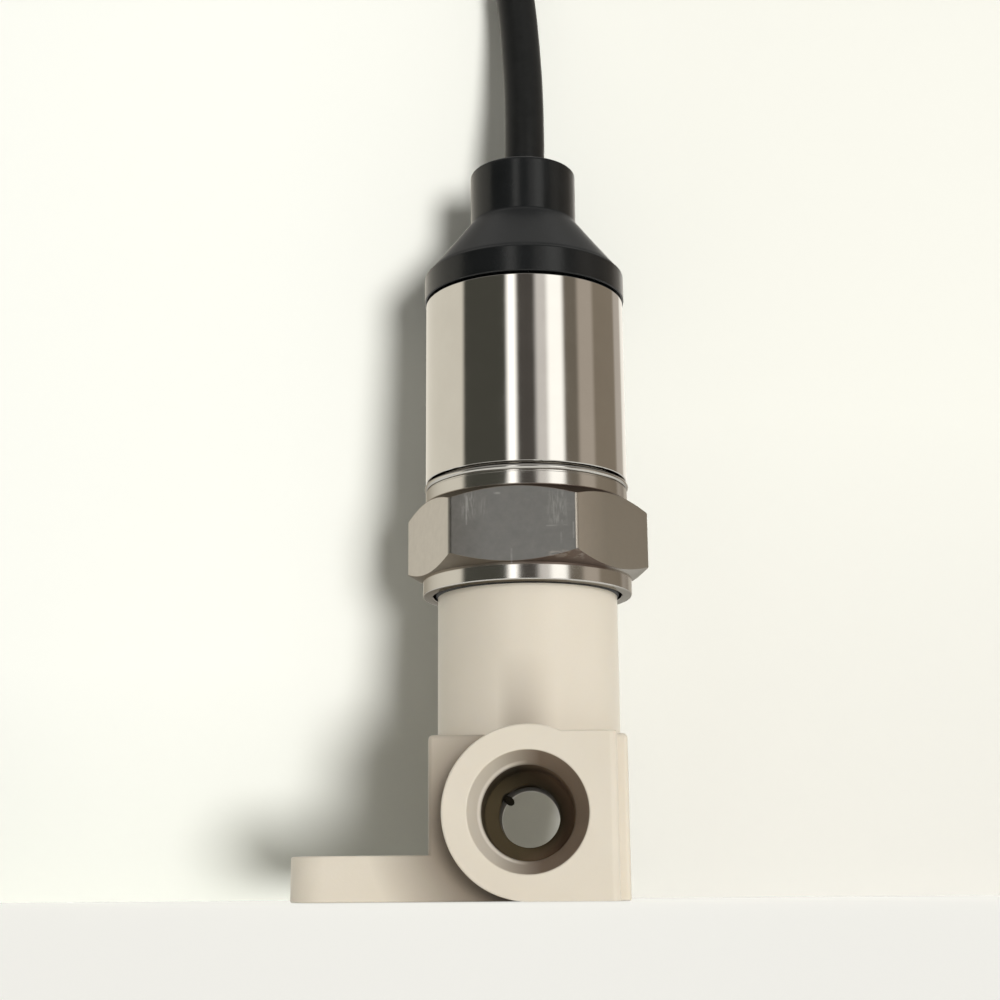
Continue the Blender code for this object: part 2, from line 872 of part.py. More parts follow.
def capacitor(name, x, y):
    """A small can with the rolled neck near its foot."""
    top = parts_bottom + CAPACITOR_HEIGHT
    edge = CAPACITOR_RADIUS * 0.12
    neck = parts_bottom + CAPACITOR_HEIGHT * 0.2
    item = turned(
        name,
        [
            (0.0, top),
            (CAPACITOR_RADIUS - edge, top),
            (CAPACITOR_RADIUS, top - edge),
            (CAPACITOR_RADIUS, neck + edge),
            (CAPACITOR_RADIUS - edge, neck),
            (CAPACITOR_RADIUS, neck - edge),
            (CAPACITOR_RADIUS, parts_bottom),
            (0.0, parts_bottom),
        ],
        steps=SMALL_STEPS,
    )
    item.location = (x, y, 0.0)
    return finish(item, ALUMINIUM)


def trimmer(name, x, y):
    """A square trimmer with its slotted adjusting screw."""
    width, depth, height = TRIMMER_SIZE
    top = parts_bottom + height
    item = box(
        name, (x - width / 2, y - depth / 2, parts_bottom), (x + width / 2, y + depth / 2, top)
    )
    screw_top = top + TRIMMER_SCREW_RADIUS * 0.3
    screw = cylinder(
        f"{name}_screw", TRIMMER_SCREW_RADIUS, top - height / 3, screw_top, (x, y), 16
    )
    combine(item, screw, "UNION")
    slot = TRIMMER_SCREW_RADIUS * 0.25
    cut = box(
        f"{name}_slot",
        (x - width, y - slot / 2, screw_top - slot),
        (x + width, y + slot / 2, screw_top + slot),
    )
    combine(item, cut, "DIFFERENCE")
    return finish(item, BLUE)


def gland_boot():
    """Collar, cone and neck, with the plug inside the tube and the bore for the cable."""
    seal_space = HOUSING_SEAL_THICKNESS + 2 * SEAL_SPACE
    groove_low = boot_bottom - BOOT_PLUG_LENGTH / 2 - seal_space / 2
    groove_high = groove_low + seal_space
    groove_floor = tube_bore - seal_space
    item = turned(
        "gland_boot",
        [
            (cable_bore, boot_top),
            *arc(
                BOOT_NECK_RADIUS - BOOT_NECK_ROUND,
                boot_top - BOOT_NECK_ROUND,
                BOOT_NECK_ROUND,
                90,
                0,
                3,
            ),
            (BOOT_NECK_RADIUS, cone_top),
            (BOOT_CONE_FOOT, cone_bottom),
            *arc(
                boot_collar_radius - BOOT_RIM_ROUND,
                boot_rim - BOOT_RIM_ROUND,
                BOOT_RIM_ROUND,
                90,
                0,
                3,
            ),
            (boot_collar_radius, boot_bottom),
            (register_radius, boot_bottom),
            (register_radius, groove_high),
            (groove_floor, groove_high),
            (groove_floor, groove_low),
            (register_radius, groove_low),
            (register_radius, plug_bottom),
            (cable_bore, plug_bottom),
        ],
        ring=True,
    )
    return finish(item, BLACK)


def cable_inside():
    """The jacketed end inside the boot, its clamp, and the three conductors to the board."""
    jacket = cylinder("cable_inner_end", CABLE_RADIUS, cable_end, cable_joint, sides=SMALL_STEPS)
    finish(jacket, JACKET)
    finish(
        turned(
            "cable_clamp",
            [
                (cable_bore, clamp_top),
                (cable_bore + CLAMP_WALL, clamp_top),
                (cable_bore + CLAMP_WALL, clamp_bottom),
                (cable_bore, clamp_bottom),
            ],
            steps=SMALL_STEPS,
            ring=True,
        ),
        CARRIER,
    )
    wire_top = cable_end - CLEARANCE
    wire_foot = parts_bottom
    drop = wire_top - wire_foot
    spread = CABLE_RADIUS * 0.9
    inner = CABLE_RADIUS * 0.45
    for name, degrees, colour in (
        ("supply_wire", 210, RED),
        ("signal_wire", 90, WHITE),
        ("ground_wire", 330, BLUE_LEAD),
    ):
        out = Vector((math.cos(math.radians(degrees)), math.sin(math.radians(degrees)), 0.0))
        route = [
            out * inner + Vector((0.0, 0.0, wire_top)),
            out * inner + Vector((0.0, 0.0, wire_top - drop * 0.15)),
            out * spread * 1.3 + Vector((0.0, 0.0, wire_top - drop * 0.5)),
            out * spread + Vector((0.0, 0.0, wire_foot + drop * 0.15)),
            out * spread + Vector((0.0, 0.0, wire_foot)),
        ]
        finish(tube(name, through_points(route, WIRE_RADIUS * 2.5), WIRE_RADIUS), colour)


def cable_run():
    """The cable from inside the boot to the side of the hank."""
    inset = math.sqrt(hank_half_width**2 - (HANK_FOLD_RADIUS - CABLE_RADIUS) ** 2)
    last = HANK_RIGHT - hank_half_width + inset + CLEARANCE
    route = [
        (0.0, 0.0, route_start),
        *CABLE_ROUTE,
        (last, -HANK_FOLD_RADIUS, CABLE_RADIUS),
    ]
    points = through_points(route, ROUTE_SPACING)
    return finish(tube("cable_run", points, CABLE_RADIUS, resolution=3), JACKET)


def stadium(right, left, radius, count=10):
    """The outline of a hank: two straight sides and two round ends."""
    points = []
    for centre, start in ((right - radius, -90), (left + radius, 90)):
        for i in range(count + 1):
            angle = math.radians(start + 180 * i / count)
            points.append((centre + radius * math.cos(angle), radius * math.sin(angle)))
    return points


def cable_hank():
    """The hank's outer shape, with the two shallow beds in which its ties lie."""
    left = HANK_RIGHT - HANK_LENGTH
    wall = 2 * CABLE_RADIUS
    item = flat_outline(
        "cable_hank",
        [
            stadium(HANK_RIGHT, left, hank_half_width),
            stadium(HANK_RIGHT - wall, left + wall, hank_half_width - wall),
        ],
        hank_height,
    )
    item.location = (0.0, 0.0, hank_height / 2)
    item = made_mesh(item)
    for name, x, side in (("front_bed", FRONT_TIE_PLACE, -1), ("back_bed", BACK_TIE_PLACE, 1)):
        half = TIE_WIDTH / 2 + CLEARANCE
        inner = HANK_FOLD_RADIUS - 2 * CABLE_RADIUS
        outer = HANK_FOLD_RADIUS + 2 * CABLE_RADIUS
        low, high = sorted((side * inner, side * outer))
        bed = box(name, (x - half, low, -tie_bed), (x + half, high, tie_bed))
        combine(item, bed, "DIFFERENCE")
    return finish(item, JACKET)


def hank_tie(name, x, side, top):
    """A strap round one side of the hank, with its lock on the side of the hank's hole."""
    reach = CABLE_RADIUS + CLEARANCE
    middle = side * HANK_FOLD_RADIUS
    item = box(
        name,
        (x - TIE_WIDTH / 2, middle - reach - TIE_THICKNESS, 0.0),
        (x + TIE_WIDTH / 2, middle + reach + TIE_THICKNESS, top + CLEARANCE + TIE_THICKNESS),
    )
    round_edges(item, lambda mid, direction: abs(direction.x) > 0.9, TIE_THICKNESS * 0.9, 3)
    inside = box(
        f"{name}_inside",
        (x - TIE_WIDTH, middle - reach, TIE_THICKNESS),
        (x + TIE_WIDTH, middle + reach, top + CLEARANCE),
    )
    combine(item, inside, "DIFFERENCE")
    length, depth, height = TIE_HEAD
    near = side * (HANK_FOLD_RADIUS - reach - TIE_THICKNESS / 2)
    low, high = sorted((near, near - side * depth))
    head = box(
        f"{name}_lock",
        (x - length / 2, low, top / 2 - height / 2),
        (x + length / 2, high, top / 2 + height / 2),
    )
    combine(item, head, "UNION")
    return finish(item, CARRIER)


def cable_end_pieces():
    """The cable's tail on top of the hank, its sleeve, and the stripped leads with their tips."""
    y = -HANK_FOLD_RADIUS
    tail_end = TAIL_START - TAIL_LENGTH
    tail = [(TAIL_START, y, tail_height), (tail_end, y, tail_height)]
    finish(tube("cable_tail", through_points(tail, ROUTE_SPACING), CABLE_RADIUS), JACKET)
    sleeve_height = hank_height + CLEARANCE + SLEEVE_RADIUS
    sleeve_start = tail_end - CLEARANCE
    sleeve_end = sleeve_start - SLEEVE_LENGTH
    sleeve = [(sleeve_start, y, sleeve_height), (sleeve_end, y, sleeve_height)]
    finish(tube("end_sleeve", through_points(sleeve, SLEEVE_LENGTH), SLEEVE_RADIUS), RUBBER)
    lead_start = sleeve_end - CLEARANCE
    lead_end = lead_start - LEAD_LENGTH
    rest = hank_height + CLEARANCE + FERRULE_RADIUS
    for name, side, colour in (("supply", -1, RED), ("signal", 0, WHITE), ("ground", 1, BLUE_LEAD)):
        inner_y = y + side * LEAD_SPREAD * 0.7
        outer_y = y + side * LEAD_SPREAD * 1.2
        inner_z = sleeve_height - (0.0006 if side else -0.0008)
        route = [
            (lead_start, inner_y, inner_z),
            (lead_start - LEAD_LENGTH * 0.25, inner_y, inner_z),
            (lead_start - LEAD_LENGTH * 0.7, outer_y, rest),
            (lead_end, outer_y, rest),
        ]
        lead = tube(f"{name}_lead", through_points(route, 2.5 * LEAD_RADIUS), LEAD_RADIUS)
        finish(lead, colour)
        tip = [
            (lead_end - CLEARANCE, outer_y, rest),
            (lead_end - CLEARANCE - FERRULE_LENGTH, outer_y, rest),
        ]
        ferrule = tube(f"{name}_ferrule", through_points(tip, FERRULE_LENGTH), FERRULE_RADIUS)
        finish(ferrule, TINNED)


def build():
    port_body()
    hex_body()
    seals()
    housing_tube()
    measuring_cell()
    board_stack()
    gland_boot()
    cable_inside()
    cable_run()
    cable_hank()
    hank_tie("front_tie", FRONT_TIE_PLACE, -1, hank_height + 2 * CABLE_RADIUS + CLEARANCE)
    hank_tie("back_tie", BACK_TIE_PLACE, 1, hank_height)
    cable_end_pieces()


build()
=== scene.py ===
"""The looks of the pressure transducer: its moulded port, steel body, tube, boot and tied cable."""

import math

import bmesh
import bpy
from mathutils import Matrix, Vector


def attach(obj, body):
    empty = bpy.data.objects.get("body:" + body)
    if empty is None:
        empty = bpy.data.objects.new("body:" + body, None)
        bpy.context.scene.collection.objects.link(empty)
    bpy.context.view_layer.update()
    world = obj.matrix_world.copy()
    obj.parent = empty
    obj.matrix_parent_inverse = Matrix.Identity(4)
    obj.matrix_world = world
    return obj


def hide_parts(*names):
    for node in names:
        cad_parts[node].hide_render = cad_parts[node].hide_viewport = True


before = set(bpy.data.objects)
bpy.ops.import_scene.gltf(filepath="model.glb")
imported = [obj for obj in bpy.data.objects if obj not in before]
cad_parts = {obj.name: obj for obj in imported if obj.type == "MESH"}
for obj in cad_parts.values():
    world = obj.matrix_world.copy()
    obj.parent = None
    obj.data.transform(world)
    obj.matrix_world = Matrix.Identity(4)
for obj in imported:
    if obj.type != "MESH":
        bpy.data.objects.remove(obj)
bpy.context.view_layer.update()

MM = 0.001

# Sizes of the visible pieces in millimetres, as in the part's own source.
CLEARANCE = 0.3
BLOCK_HALF = 11.8
BLOCK_TOP = 19.2
BLOCK_ROUND = 0.6
BOSS_RADIUS = 10.0
BOSS_SIDE = 10.4
BOSS_FACE = 16.3
BOSS_CORNER = 1.0
# Keeps two faces of one piece from lying exactly in one plane while they are joined.
SLIVER = 0.002
MOUTH_RADIUS = 7.0
MOUTH_DEPTH = 3.0
BORE_RADIUS = 5.5
BORE_END = 2.8
THROUGH_RADIUS = 3.75
PASSAGE_RADIUS = 2.0
FOOT_END = 28.4
FOOT_TOP = 5.3
FOOT_CORNER = 4.5
SCREW_HOLE_X = -20.2
SCREW_HOLE_RADIUS = 2.75
NECK_RADIUS = 11.4
COLLAR_BOTTOM = 37.4
RING_PROUD = 0.2
HEX_BOTTOM = 39.3
HEX_TOP = 49.4
HEX_ACROSS_FLATS = 27.0
HEX_TURN = -6.3
HEX_CHAMFER_RADIUS = 12.8
HEX_COLLAR_RADIUS = 13.3
SOCKET_RADIUS = 12.0
SPIGOT_BORE_RADIUS = 11.7
CELL_BORE_RADIUS = 9.3
WIRE_BORE_RADIUS = 7.5
GROOVE_BOTTOM = 51.0
BEAD_BOTTOM = 51.15
BEAD_TOP = 51.9
REGISTER_TOP = 55.0
SPIGOT_TOP = 43.4
PLATEAU_TOP = 44.0
POCKET_TOP = 52.25
TUBE_BOTTOM = 52.2
TUBE_TOP = 76.55
TUBE_RADIUS = 13.0
TUBE_BORE = 12.0
PLUG_RADIUS = TUBE_BORE - CLEARANCE
PLUG_GROOVE_RADIUS = 10.1
PLUG_BOTTOM = 72.55
BOOT_BOTTOM = 76.85
BOOT_RIM = 80.15
CONE_BOTTOM = 80.65
CONE_TOP = 87.75
BOOT_TOP = 95.25
BOOT_COLLAR_RADIUS = 13.2
BOOT_NECK_RADIUS = 7.05
CABLE_RADIUS = 2.7
FOLD_RADIUS = 16.2
RIGHT_FOLD_X = -109.9
LEFT_FOLD_X = -156.1
LAYER_PITCH = 5.5
HANK_HEIGHT = 16.4
TAIL_END_X = -119.0
SLEEVE_RADIUS = 3.0
SLEEVE_LENGTH = 9.0
SLEEVE_START_X = TAIL_END_X - CLEARANCE
SLEEVE_HEIGHT = HANK_HEIGHT + CLEARANCE + SLEEVE_RADIUS
LEAD_LENGTH = 18.0
# The crumb of flash at the inner end of the bore.
FLASH_AT = (-2.5, 0.75 - BORE_END, BOSS_RADIUS + 1.9)

ROUND_STEPS = 160

# The camera's place in millimetres and its angles in degrees.
CAMERA_PLACE = (3.08, -211.206, 1.49)
CAMERA_PITCH = 13.875
CAMERA_YAW = -1.755
CAMERA_ROLL = 0.448
CAMERA_LENS = 60.3055
CAMERA_SHIFT = -0.025457


# Working with the mesh by hand


def deselect_all():
    if bpy.context.mode != "OBJECT":
        bpy.ops.object.mode_set(mode="OBJECT")
    bpy.ops.object.select_all(action="DESELECT")


def make_active(item):
    deselect_all()
    item.select_set(True)
    bpy.context.view_layer.objects.active = item


def named(item, name):
    item.name = name
    item.data.name = name
    return item


def apply_place(item):
    """Put the piece's place into its mesh, and its object at the origin."""
    make_active(item)
    bpy.ops.object.transform_apply(location=True, rotation=True, scale=True)
    return item


def start_edit(item):
    make_active(item)
    bpy.ops.object.mode_set(mode="EDIT")
    bpy.ops.mesh.select_all(action="DESELECT")


def end_edit():
    bpy.ops.object.mode_set(mode="OBJECT")


def choose_edges(item, wanted):
    """Select, in edit mode, the edges that the test accepts."""
    bpy.ops.mesh.select_mode(type="EDGE")
    shape = bmesh.from_edit_mesh(item.data)
    for edge in shape.edges:
        edge.select_set(bool(wanted(edge)))
    shape.select_flush_mode()
    bmesh.update_edit_mesh(item.data)


def middle_of(edge):
    return (edge.verts[0].co + edge.verts[1].co) / (2 * MM)


def is_upright(edge):
    run = edge.verts[0].co - edge.verts[1].co
    return abs(run.z) > 0.9 * run.length


def runs_across(edge):
    return abs((edge.verts[0].co - edge.verts[1].co).x) > MM


def is_sharp(edge):
    return (
        len(edge.link_faces) == 2
        and edge.is_convex
        and edge.calc_face_angle(0.0) > math.radians(30)
    )


def bevel_edges(item, wanted, width, segments):
    """Round the chosen edges of a piece."""
    start_edit(item)
    choose_edges(item, wanted)
    bpy.ops.mesh.bevel(
        offset=width * MM, offset_type="OFFSET", segments=segments, profile=0.5, affect="EDGES"
    )
    end_edit()
    return item


def cube(name, low, high):
    """A box between two corners, in millimetres."""
    deselect_all()
    size = [(high[i] - low[i]) * MM for i in range(3)]
    middle = [(high[i] + low[i]) * MM / 2 for i in range(3)]
    bpy.ops.mesh.primitive_cube_add(size=1, location=middle, scale=size)
    return apply_place(named(bpy.context.object, name))


def bar(name, radius, low, high, at=(0.0, 0.0), sides=48):
    """An upright round bar between two heights, in millimetres."""
    deselect_all()
    bpy.ops.mesh.primitive_cylinder_add(
        vertices=sides,
        radius=radius * MM,
        depth=(high - low) * MM,
        location=(at[0] * MM, at[1] * MM, (low + high) * MM / 2),
    )
    return apply_place(named(bpy.context.object, name))


def turned(name, profile, steps=ROUND_STEPS, ring=False):
    """Draw a profile point by point in the XZ plane, in millimetres, and spin it about Z."""
    deselect_all()
    first = profile[0]
    bpy.ops.mesh.primitive_plane_add(size=MM, location=(first[0] * MM, 0.0, first[1] * MM))
    item = apply_place(named(bpy.context.object, name))
    bpy.ops.object.mode_set(mode="EDIT")
    bpy.ops.mesh.select_mode(type="VERT")
    bpy.ops.mesh.select_all(action="SELECT")
    bpy.ops.mesh.merge(type="CENTER")
    before = first
    points = [*profile[1:], first] if ring else profile[1:]
    for point in points:
        step = ((point[0] - before[0]) * MM, 0.0, (point[1] - before[1]) * MM)
        bpy.ops.mesh.extrude_region_move(TRANSFORM_OT_translate={"value": step})
        before = point
    bpy.ops.mesh.select_all(action="SELECT")
    bpy.ops.mesh.remove_doubles(threshold=0.00001 * MM)
    bpy.ops.mesh.spin(
        steps=steps,
        angle=2 * math.pi,
        center=(0.0, 0.0, 0.0),
        axis=(0.0, 0.0, 1.0),
        use_auto_merge=True,
    )
    bpy.ops.mesh.select_all(action="SELECT")
    bpy.ops.mesh.remove_doubles(threshold=0.002 * MM)
    bpy.ops.mesh.dissolve_degenerate(threshold=0.0005 * MM)
    bpy.ops.mesh.normals_make_consistent(inside=False)
    end_edit()
    return item


def quarter(centre, radius, start, end, count=5):
    """Points of a rounded corner in a profile, with angles in degrees from the outward side."""
    points = []
    for i in range(count + 1):
        angle = math.radians(start + (end - start) * i / count)
        points.append(
            (centre[0] + radius * math.cos(angle), centre[1] + radius * math.sin(angle))
        )
    return points


def lay_along_y(item, height):
    """Lay a turned shape on its side, so that its upper end points to the front."""
    item.rotation_euler = (math.radians(90), 0.0, 0.0)
    item.location = (0.0, 0.0, height * MM)
    return apply_place(item)


def lay_along_x(item, x, y, height):
    """Lay a turned shape on its side, so that its upper end points to the left."""
    item.rotation_euler = (0.0, math.radians(-90), 0.0)
    item.location = (x * MM, y * MM, height * MM)
    return apply_place(item)


def combine(item, other, operation):
    """Join another shape to a piece, or cut it away, and remove the other shape."""
    make_active(item)
    modifier = item.modifiers.new(other.name, "BOOLEAN")
    modifier.operation = operation
    modifier.solver = "EXACT"
    modifier.object = other
    bpy.ops.object.modifier_apply(modifier=modifier.name)
    bpy.data.objects.remove(other, do_unlink=True)
    return item


def smooth(item, degrees=28, weighted=True):
    """Shade round faces smooth and flat faces flat."""
    make_active(item)
    bpy.ops.object.shade_smooth_by_angle(angle=math.radians(degrees))
    if weighted:
        modifier = item.modifiers.new("even_faces", "WEIGHTED_NORMAL")
        modifier.keep_sharp = True
        modifier.weight = 80
        bpy.ops.object.modifier_apply(modifier=modifier.name)
    return item


def finish_piece(item, finish_material, slot, *nodes):
    """Give a piece its material, and let it stand for its nodes of the part."""
    item.data.materials.clear()
    item.data.materials.append(finish_material)
    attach(item, "root")
    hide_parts(*nodes)
    return item


# Camera


def make_camera():
    """The camera stands low before the transducer and looks a little up, as in the picture."""
    camera = bpy.data.cameras.new("camera")
    camera.sensor_width = 36.0
    camera.lens = CAMERA_LENS
    camera.shift_y = CAMERA_SHIFT
    camera.clip_start = 0.01
    camera.clip_end = 50.0
    holder = bpy.data.objects.new("camera", camera)
    bpy.context.scene.collection.objects.link(holder)
    pitch = math.radians(CAMERA_PITCH)
    yaw = math.radians(CAMERA_YAW)
    roll = math.radians(CAMERA_ROLL)
    forward = Vector(
        (math.sin(yaw) * math.cos(pitch), math.cos(yaw) * math.cos(pitch), math.sin(pitch))
    )
    level = Vector((math.cos(yaw), -math.sin(yaw), 0.0))
    above = level.cross(forward)
    right = level * math.cos(roll) - above * math.sin(roll)
    upward = above * math.cos(roll) + level * math.sin(roll)
    turn = Matrix((right, upward, -forward)).transposed().to_4x4()
    holder.matrix_world = Matrix.Translation(Vector(CAMERA_PLACE) * MM) @ turn
    bpy.context.scene.camera = holder


# Cable


CABLE_ROUTE = [
    (0.0, 0.0, 79.95),
    (0.0, 0.0, 87.6),
    (0.2, 0.0, 94.5),
    (0.3, 0.6, 102.0),
    (0.1, 2.0, 111.6),
    (-0.8, 3.4, 124.0),
    (-2.7, 3.4, 136.5),
    (-7.2, 2.6, 148.4),
    (-14.6, 1.4, 157.8),
    (-24.4, -0.3, 164.2),
    (-35.8, -2.3, 167.3),
    (-47.8, -4.5, 167.0),
    (-59.3, -6.8, 163.3),
    (-69.5, -9.1, 156.3),
    (-77.7, -11.3, 146.5),
    (-83.4, -13.2, 134.6),
    (-86.5, -14.7, 121.4),
    (-87.2, -15.7, 107.4),
    (-86.0, -16.1, 93.2),
    (-83.2, -16.2, 79.2),
    (-79.7, -16.2, 65.8),
    (-75.9, -16.2, 52.6),
    (-72.4, -16.2, 39.8),
    (-70.4, -16.2, 28.8),
    (-71.3, -16.2, 19.2),
    (-75.4, -16.2, 11.2),
    (-81.9, -16.2, 5.9),
    (-89.3, -16.2, 3.3),
    (-96.6, -16.2, 2.7),
]


def even_points(points, spacing):
    """Points at an even spacing on a smooth curve through the chosen points."""
    knots = [Vector(point) for point in points]
    knots = [knots[0] * 2 - knots[1], *knots, knots[-1] * 2 - knots[-2]]
    fine = []
    for i in range(1, len(knots) - 2):
        a, b, c, d = knots[i - 1 : i + 3]
        for j in range(24):
            t = j / 24
            fine.append(
                0.5
                * (
                    2 * b
                    + (c - a) * t
                    + (2 * a - 5 * b + 4 * c - d) * t**2
                    + (3 * b - a - 3 * c + d) * t**3
                )
            )
    fine.append(knots[-2])
    length = sum((fine[i + 1] - fine[i]).length for i in range(len(fine) - 1))
    count = max(2, round(length / spacing))
    step = length / count
    even = [fine[0]]
    passed = 0.0
    for i in range(len(fine) - 1):
        piece = (fine[i + 1] - fine[i]).length
        while len(even) < count and passed + piece >= step * len(even):
            even.append(fine[i].lerp(fine[i + 1], (step * len(even) - passed) / piece))
        passed += piece
    even.append(fine[-1])
    return even


def ease(share):
    share = min(1.0, max(0.0, share))
    return share * share * (3 - 2 * share)


def hank_points():
    """Three turns round the hank from the front run, and the tail on top of its front side."""
    points = []
    height = CABLE_RADIUS
    straight = [RIGHT_FOLD_X + (LEFT_FOLD_X - RIGHT_FOLD_X) * i / 6 for i in range(7)]
    fold = [math.radians(15 * i) for i in range(1, 12)]
    for turn in range(3):
        climb = LAYER_PITCH if turn < 2 else HANK_HEIGHT + CLEARANCE + CABLE_RADIUS - height
        points += [(x, -FOLD_RADIUS, height) for x in straight]
        points += [
            (
                LEFT_FOLD_X - FOLD_RADIUS * math.sin(angle),
                -FOLD_RADIUS * math.cos(angle),
                height,
            )
            for angle in fold
        ]
        points += [(x, FOLD_RADIUS, height) for x in reversed(straight)]
        for angle in fold:
            rise = climb * ease(angle / math.radians(140))
            points.append(
                (
                    RIGHT_FOLD_X + FOLD_RADIUS * math.sin(angle),
                    FOLD_RADIUS * math.cos(angle),
                    height + rise,
                )
            )
        height += climb
    points += [(RIGHT_FOLD_X, -FOLD_RADIUS, height), (TAIL_END_X, -FOLD_RADIUS, height)]
    return points


def soft_tube(name, points, radius, resolution=6):
    """A curve of one open spline with a round section, in millimetres."""
    curve = bpy.data.curves.new(name, "CURVE")
    curve.dimensions = "3D"
    curve.bevel_depth = radius * MM
    curve.bevel_resolution = resolution
    curve.use_fill_caps = True
    spline = curve.splines.new("POLY")
    spline.points.add(len(points) - 1)
    for knot, point in zip(spline.points, points, strict=True):
        knot.co = (point[0] * MM, point[1] * MM, point[2] * MM, 1.0)
    spline.use_smooth = True
    item = bpy.data.objects.new(name, curve)
    bpy.context.scene.collection.objects.link(item)
    return item


def make_tie(name, x, side, top):
    """A nylon strap round one side of the hank, with its slotted lock."""
    reach = CABLE_RADIUS + CLEARANCE
    thick = 0.8
    half = 1.25
    middle = side * FOLD_RADIUS
    strap = cube(
        name, (x - half, middle - reach - thick, 0.0), (x + half, middle + reach + thick, top)
    )
    bevel_edges(strap, runs_across, 2.2, 6)
    hole = cube(
        f"{name}_hole",
        (x - 3 * half, middle - reach, thick),
        (x + 3 * half, middle + reach, top - thick),
    )
    bevel_edges(hole, runs_across, 1.6, 6)
    combine(strap, hole, "DIFFERENCE")
    centre = top / 2
    near = side * (FOLD_RADIUS - reach - thick / 2)
    low, high = sorted((near, near - side * 2.2))
    lock = cube(f"{name}_lock", (x - 2.0, low, centre - 1.8), (x + 2.0, high, centre + 1.8))
    bevel_edges(lock, lambda edge: True, 0.35, 2)
    slit_low, slit_high = sorted((near - side * 0.9, near - side * 1.5))
    slit = cube(
        f"{name}_slit", (x - 1.3, slit_low, centre - 3.0), (x + 1.3, slit_high, centre + 3.0)
    )
    combine(lock, slit, "DIFFERENCE")
    combine(strap, lock, "UNION")
    return smooth(strap, 35)


def make_sleeve(rubber):
    """The heat-shrink sleeve over the stripped end of the jacket."""
    sleeve = turned(
        "shrink_sleeve",
        [
            (0.0, SLEEVE_LENGTH),
            *quarter((SLEEVE_RADIUS - 0.7, SLEEVE_LENGTH - 0.5), 0.5, 90, 0, 3),
            (SLEEVE_RADIUS, 5.5),
            (SLEEVE_RADIUS - 0.15, 4.5),
            (SLEEVE_RADIUS, 3.5),
            *quarter((SLEEVE_RADIUS - 0.3, 0.3), 0.3, 0, -90, 3),
            (0.0, 0.0),
        ],
        steps=48,
    )
    lay_along_x(sleeve, SLEEVE_START_X, -FOLD_RADIUS, SLEEVE_HEIGHT)
    smooth(sleeve, 40)
    return finish_piece(sleeve, rubber, "seal_rubber", "end_sleeve")


def make_lead(name, colour, side, insulation, tinned):
    """A stripped lead that fans out of the sleeve, with its crimped tip."""
    start = SLEEVE_START_X - SLEEVE_LENGTH - CLEARANCE
    rest = HANK_HEIGHT + CLEARANCE + 0.9
    inner_y = -FOLD_RADIUS + side * 1.19
    outer_y = -FOLD_RADIUS + side * 2.04
    inner_z = SLEEVE_HEIGHT - (0.6 if side else -0.8)
    route = [
        (start, inner_y, inner_z),
        (start - 4.5, inner_y, inner_z),
        (start - 12.6, outer_y, rest),
        (start - LEAD_LENGTH, outer_y, rest),
    ]
    lead = soft_tube(f"{name}_conductor", even_points(route, 0.8), 0.75, 4)
    finish_piece(lead, insulation, f"{colour}_insulation", f"{name}_lead")
    tip = turned(
        f"{name}_tip",
        [
            (0.0, 7.0),
            *quarter((0.45, 6.75), 0.25, 90, 0, 3),
            (0.7, 2.2),
            (0.9, 1.6),
            (0.9, 0.15),
            (0.8, 0.0),
            (0.0, 0.0),
        ],
        steps=28,
    )
    lay_along_x(tip, start - LEAD_LENGTH - CLEARANCE, outer_y, rest)
    smooth(tip, 40)
    finish_piece(tip, tinned, "tinned_copper", f"{name}_ferrule")
    return [lead, tip]


def make_cable(jacket, rubber, nylon, tinned, insulations):
    """The cable with its hank and tail, and the ties, sleeve, leads and tips on it."""
    route = even_points(CABLE_ROUTE, 2.0)
    line = route[:-1] + [Vector(p) for p in even_points([CABLE_ROUTE[-1], *hank_points()], 2.0)]
    cable = soft_tube("cable", line, CABLE_RADIUS)
    cable.visible_glossy = False
    finish_piece(cable, jacket, "cable_jacket", "cable_run", "cable_hank", "cable_tail")
    front = make_tie("front_strap", -113.0, -1, HANK_HEIGHT + 2 * CABLE_RADIUS + 1.4)
    back = make_tie("back_strap", -133.0, 1, HANK_HEIGHT + 1.1)
    finish_piece(front, nylon, "nylon", "front_tie")
    finish_piece(back, nylon, "nylon", "back_tie")
    on_cable = [front, back, make_sleeve(rubber)]
    leads = (("supply", "red", -1), ("signal", "white", 0), ("ground", "blue", 1))
    for name, colour, side in leads:
        on_cable += make_lead(name, colour, side, insulations[name], tinned)


# Port body


def port_block():
    block = cube("port", (-BLOCK_HALF, -BLOCK_HALF, 0.0), (BLOCK_HALF, BLOCK_HALF, BLOCK_TOP))
    bevel_edges(block, lambda edge: middle_of(edge).z > BLOCK_TOP / 4, BLOCK_ROUND, 5)
    return bevel_edges(block, is_sharp, 0.15, 2)


def port_foot():
    foot = cube("foot", (-FOOT_END, -BLOCK_HALF, 0.0), (0.0, BLOCK_HALF, FOOT_TOP))
    bevel_edges(
        foot,
        lambda edge: middle_of(edge).x < 1 - FOOT_END and is_upright(edge),
        FOOT_CORNER,
        24,
    )
    return bevel_edges(foot, is_sharp, 0.25, 3)


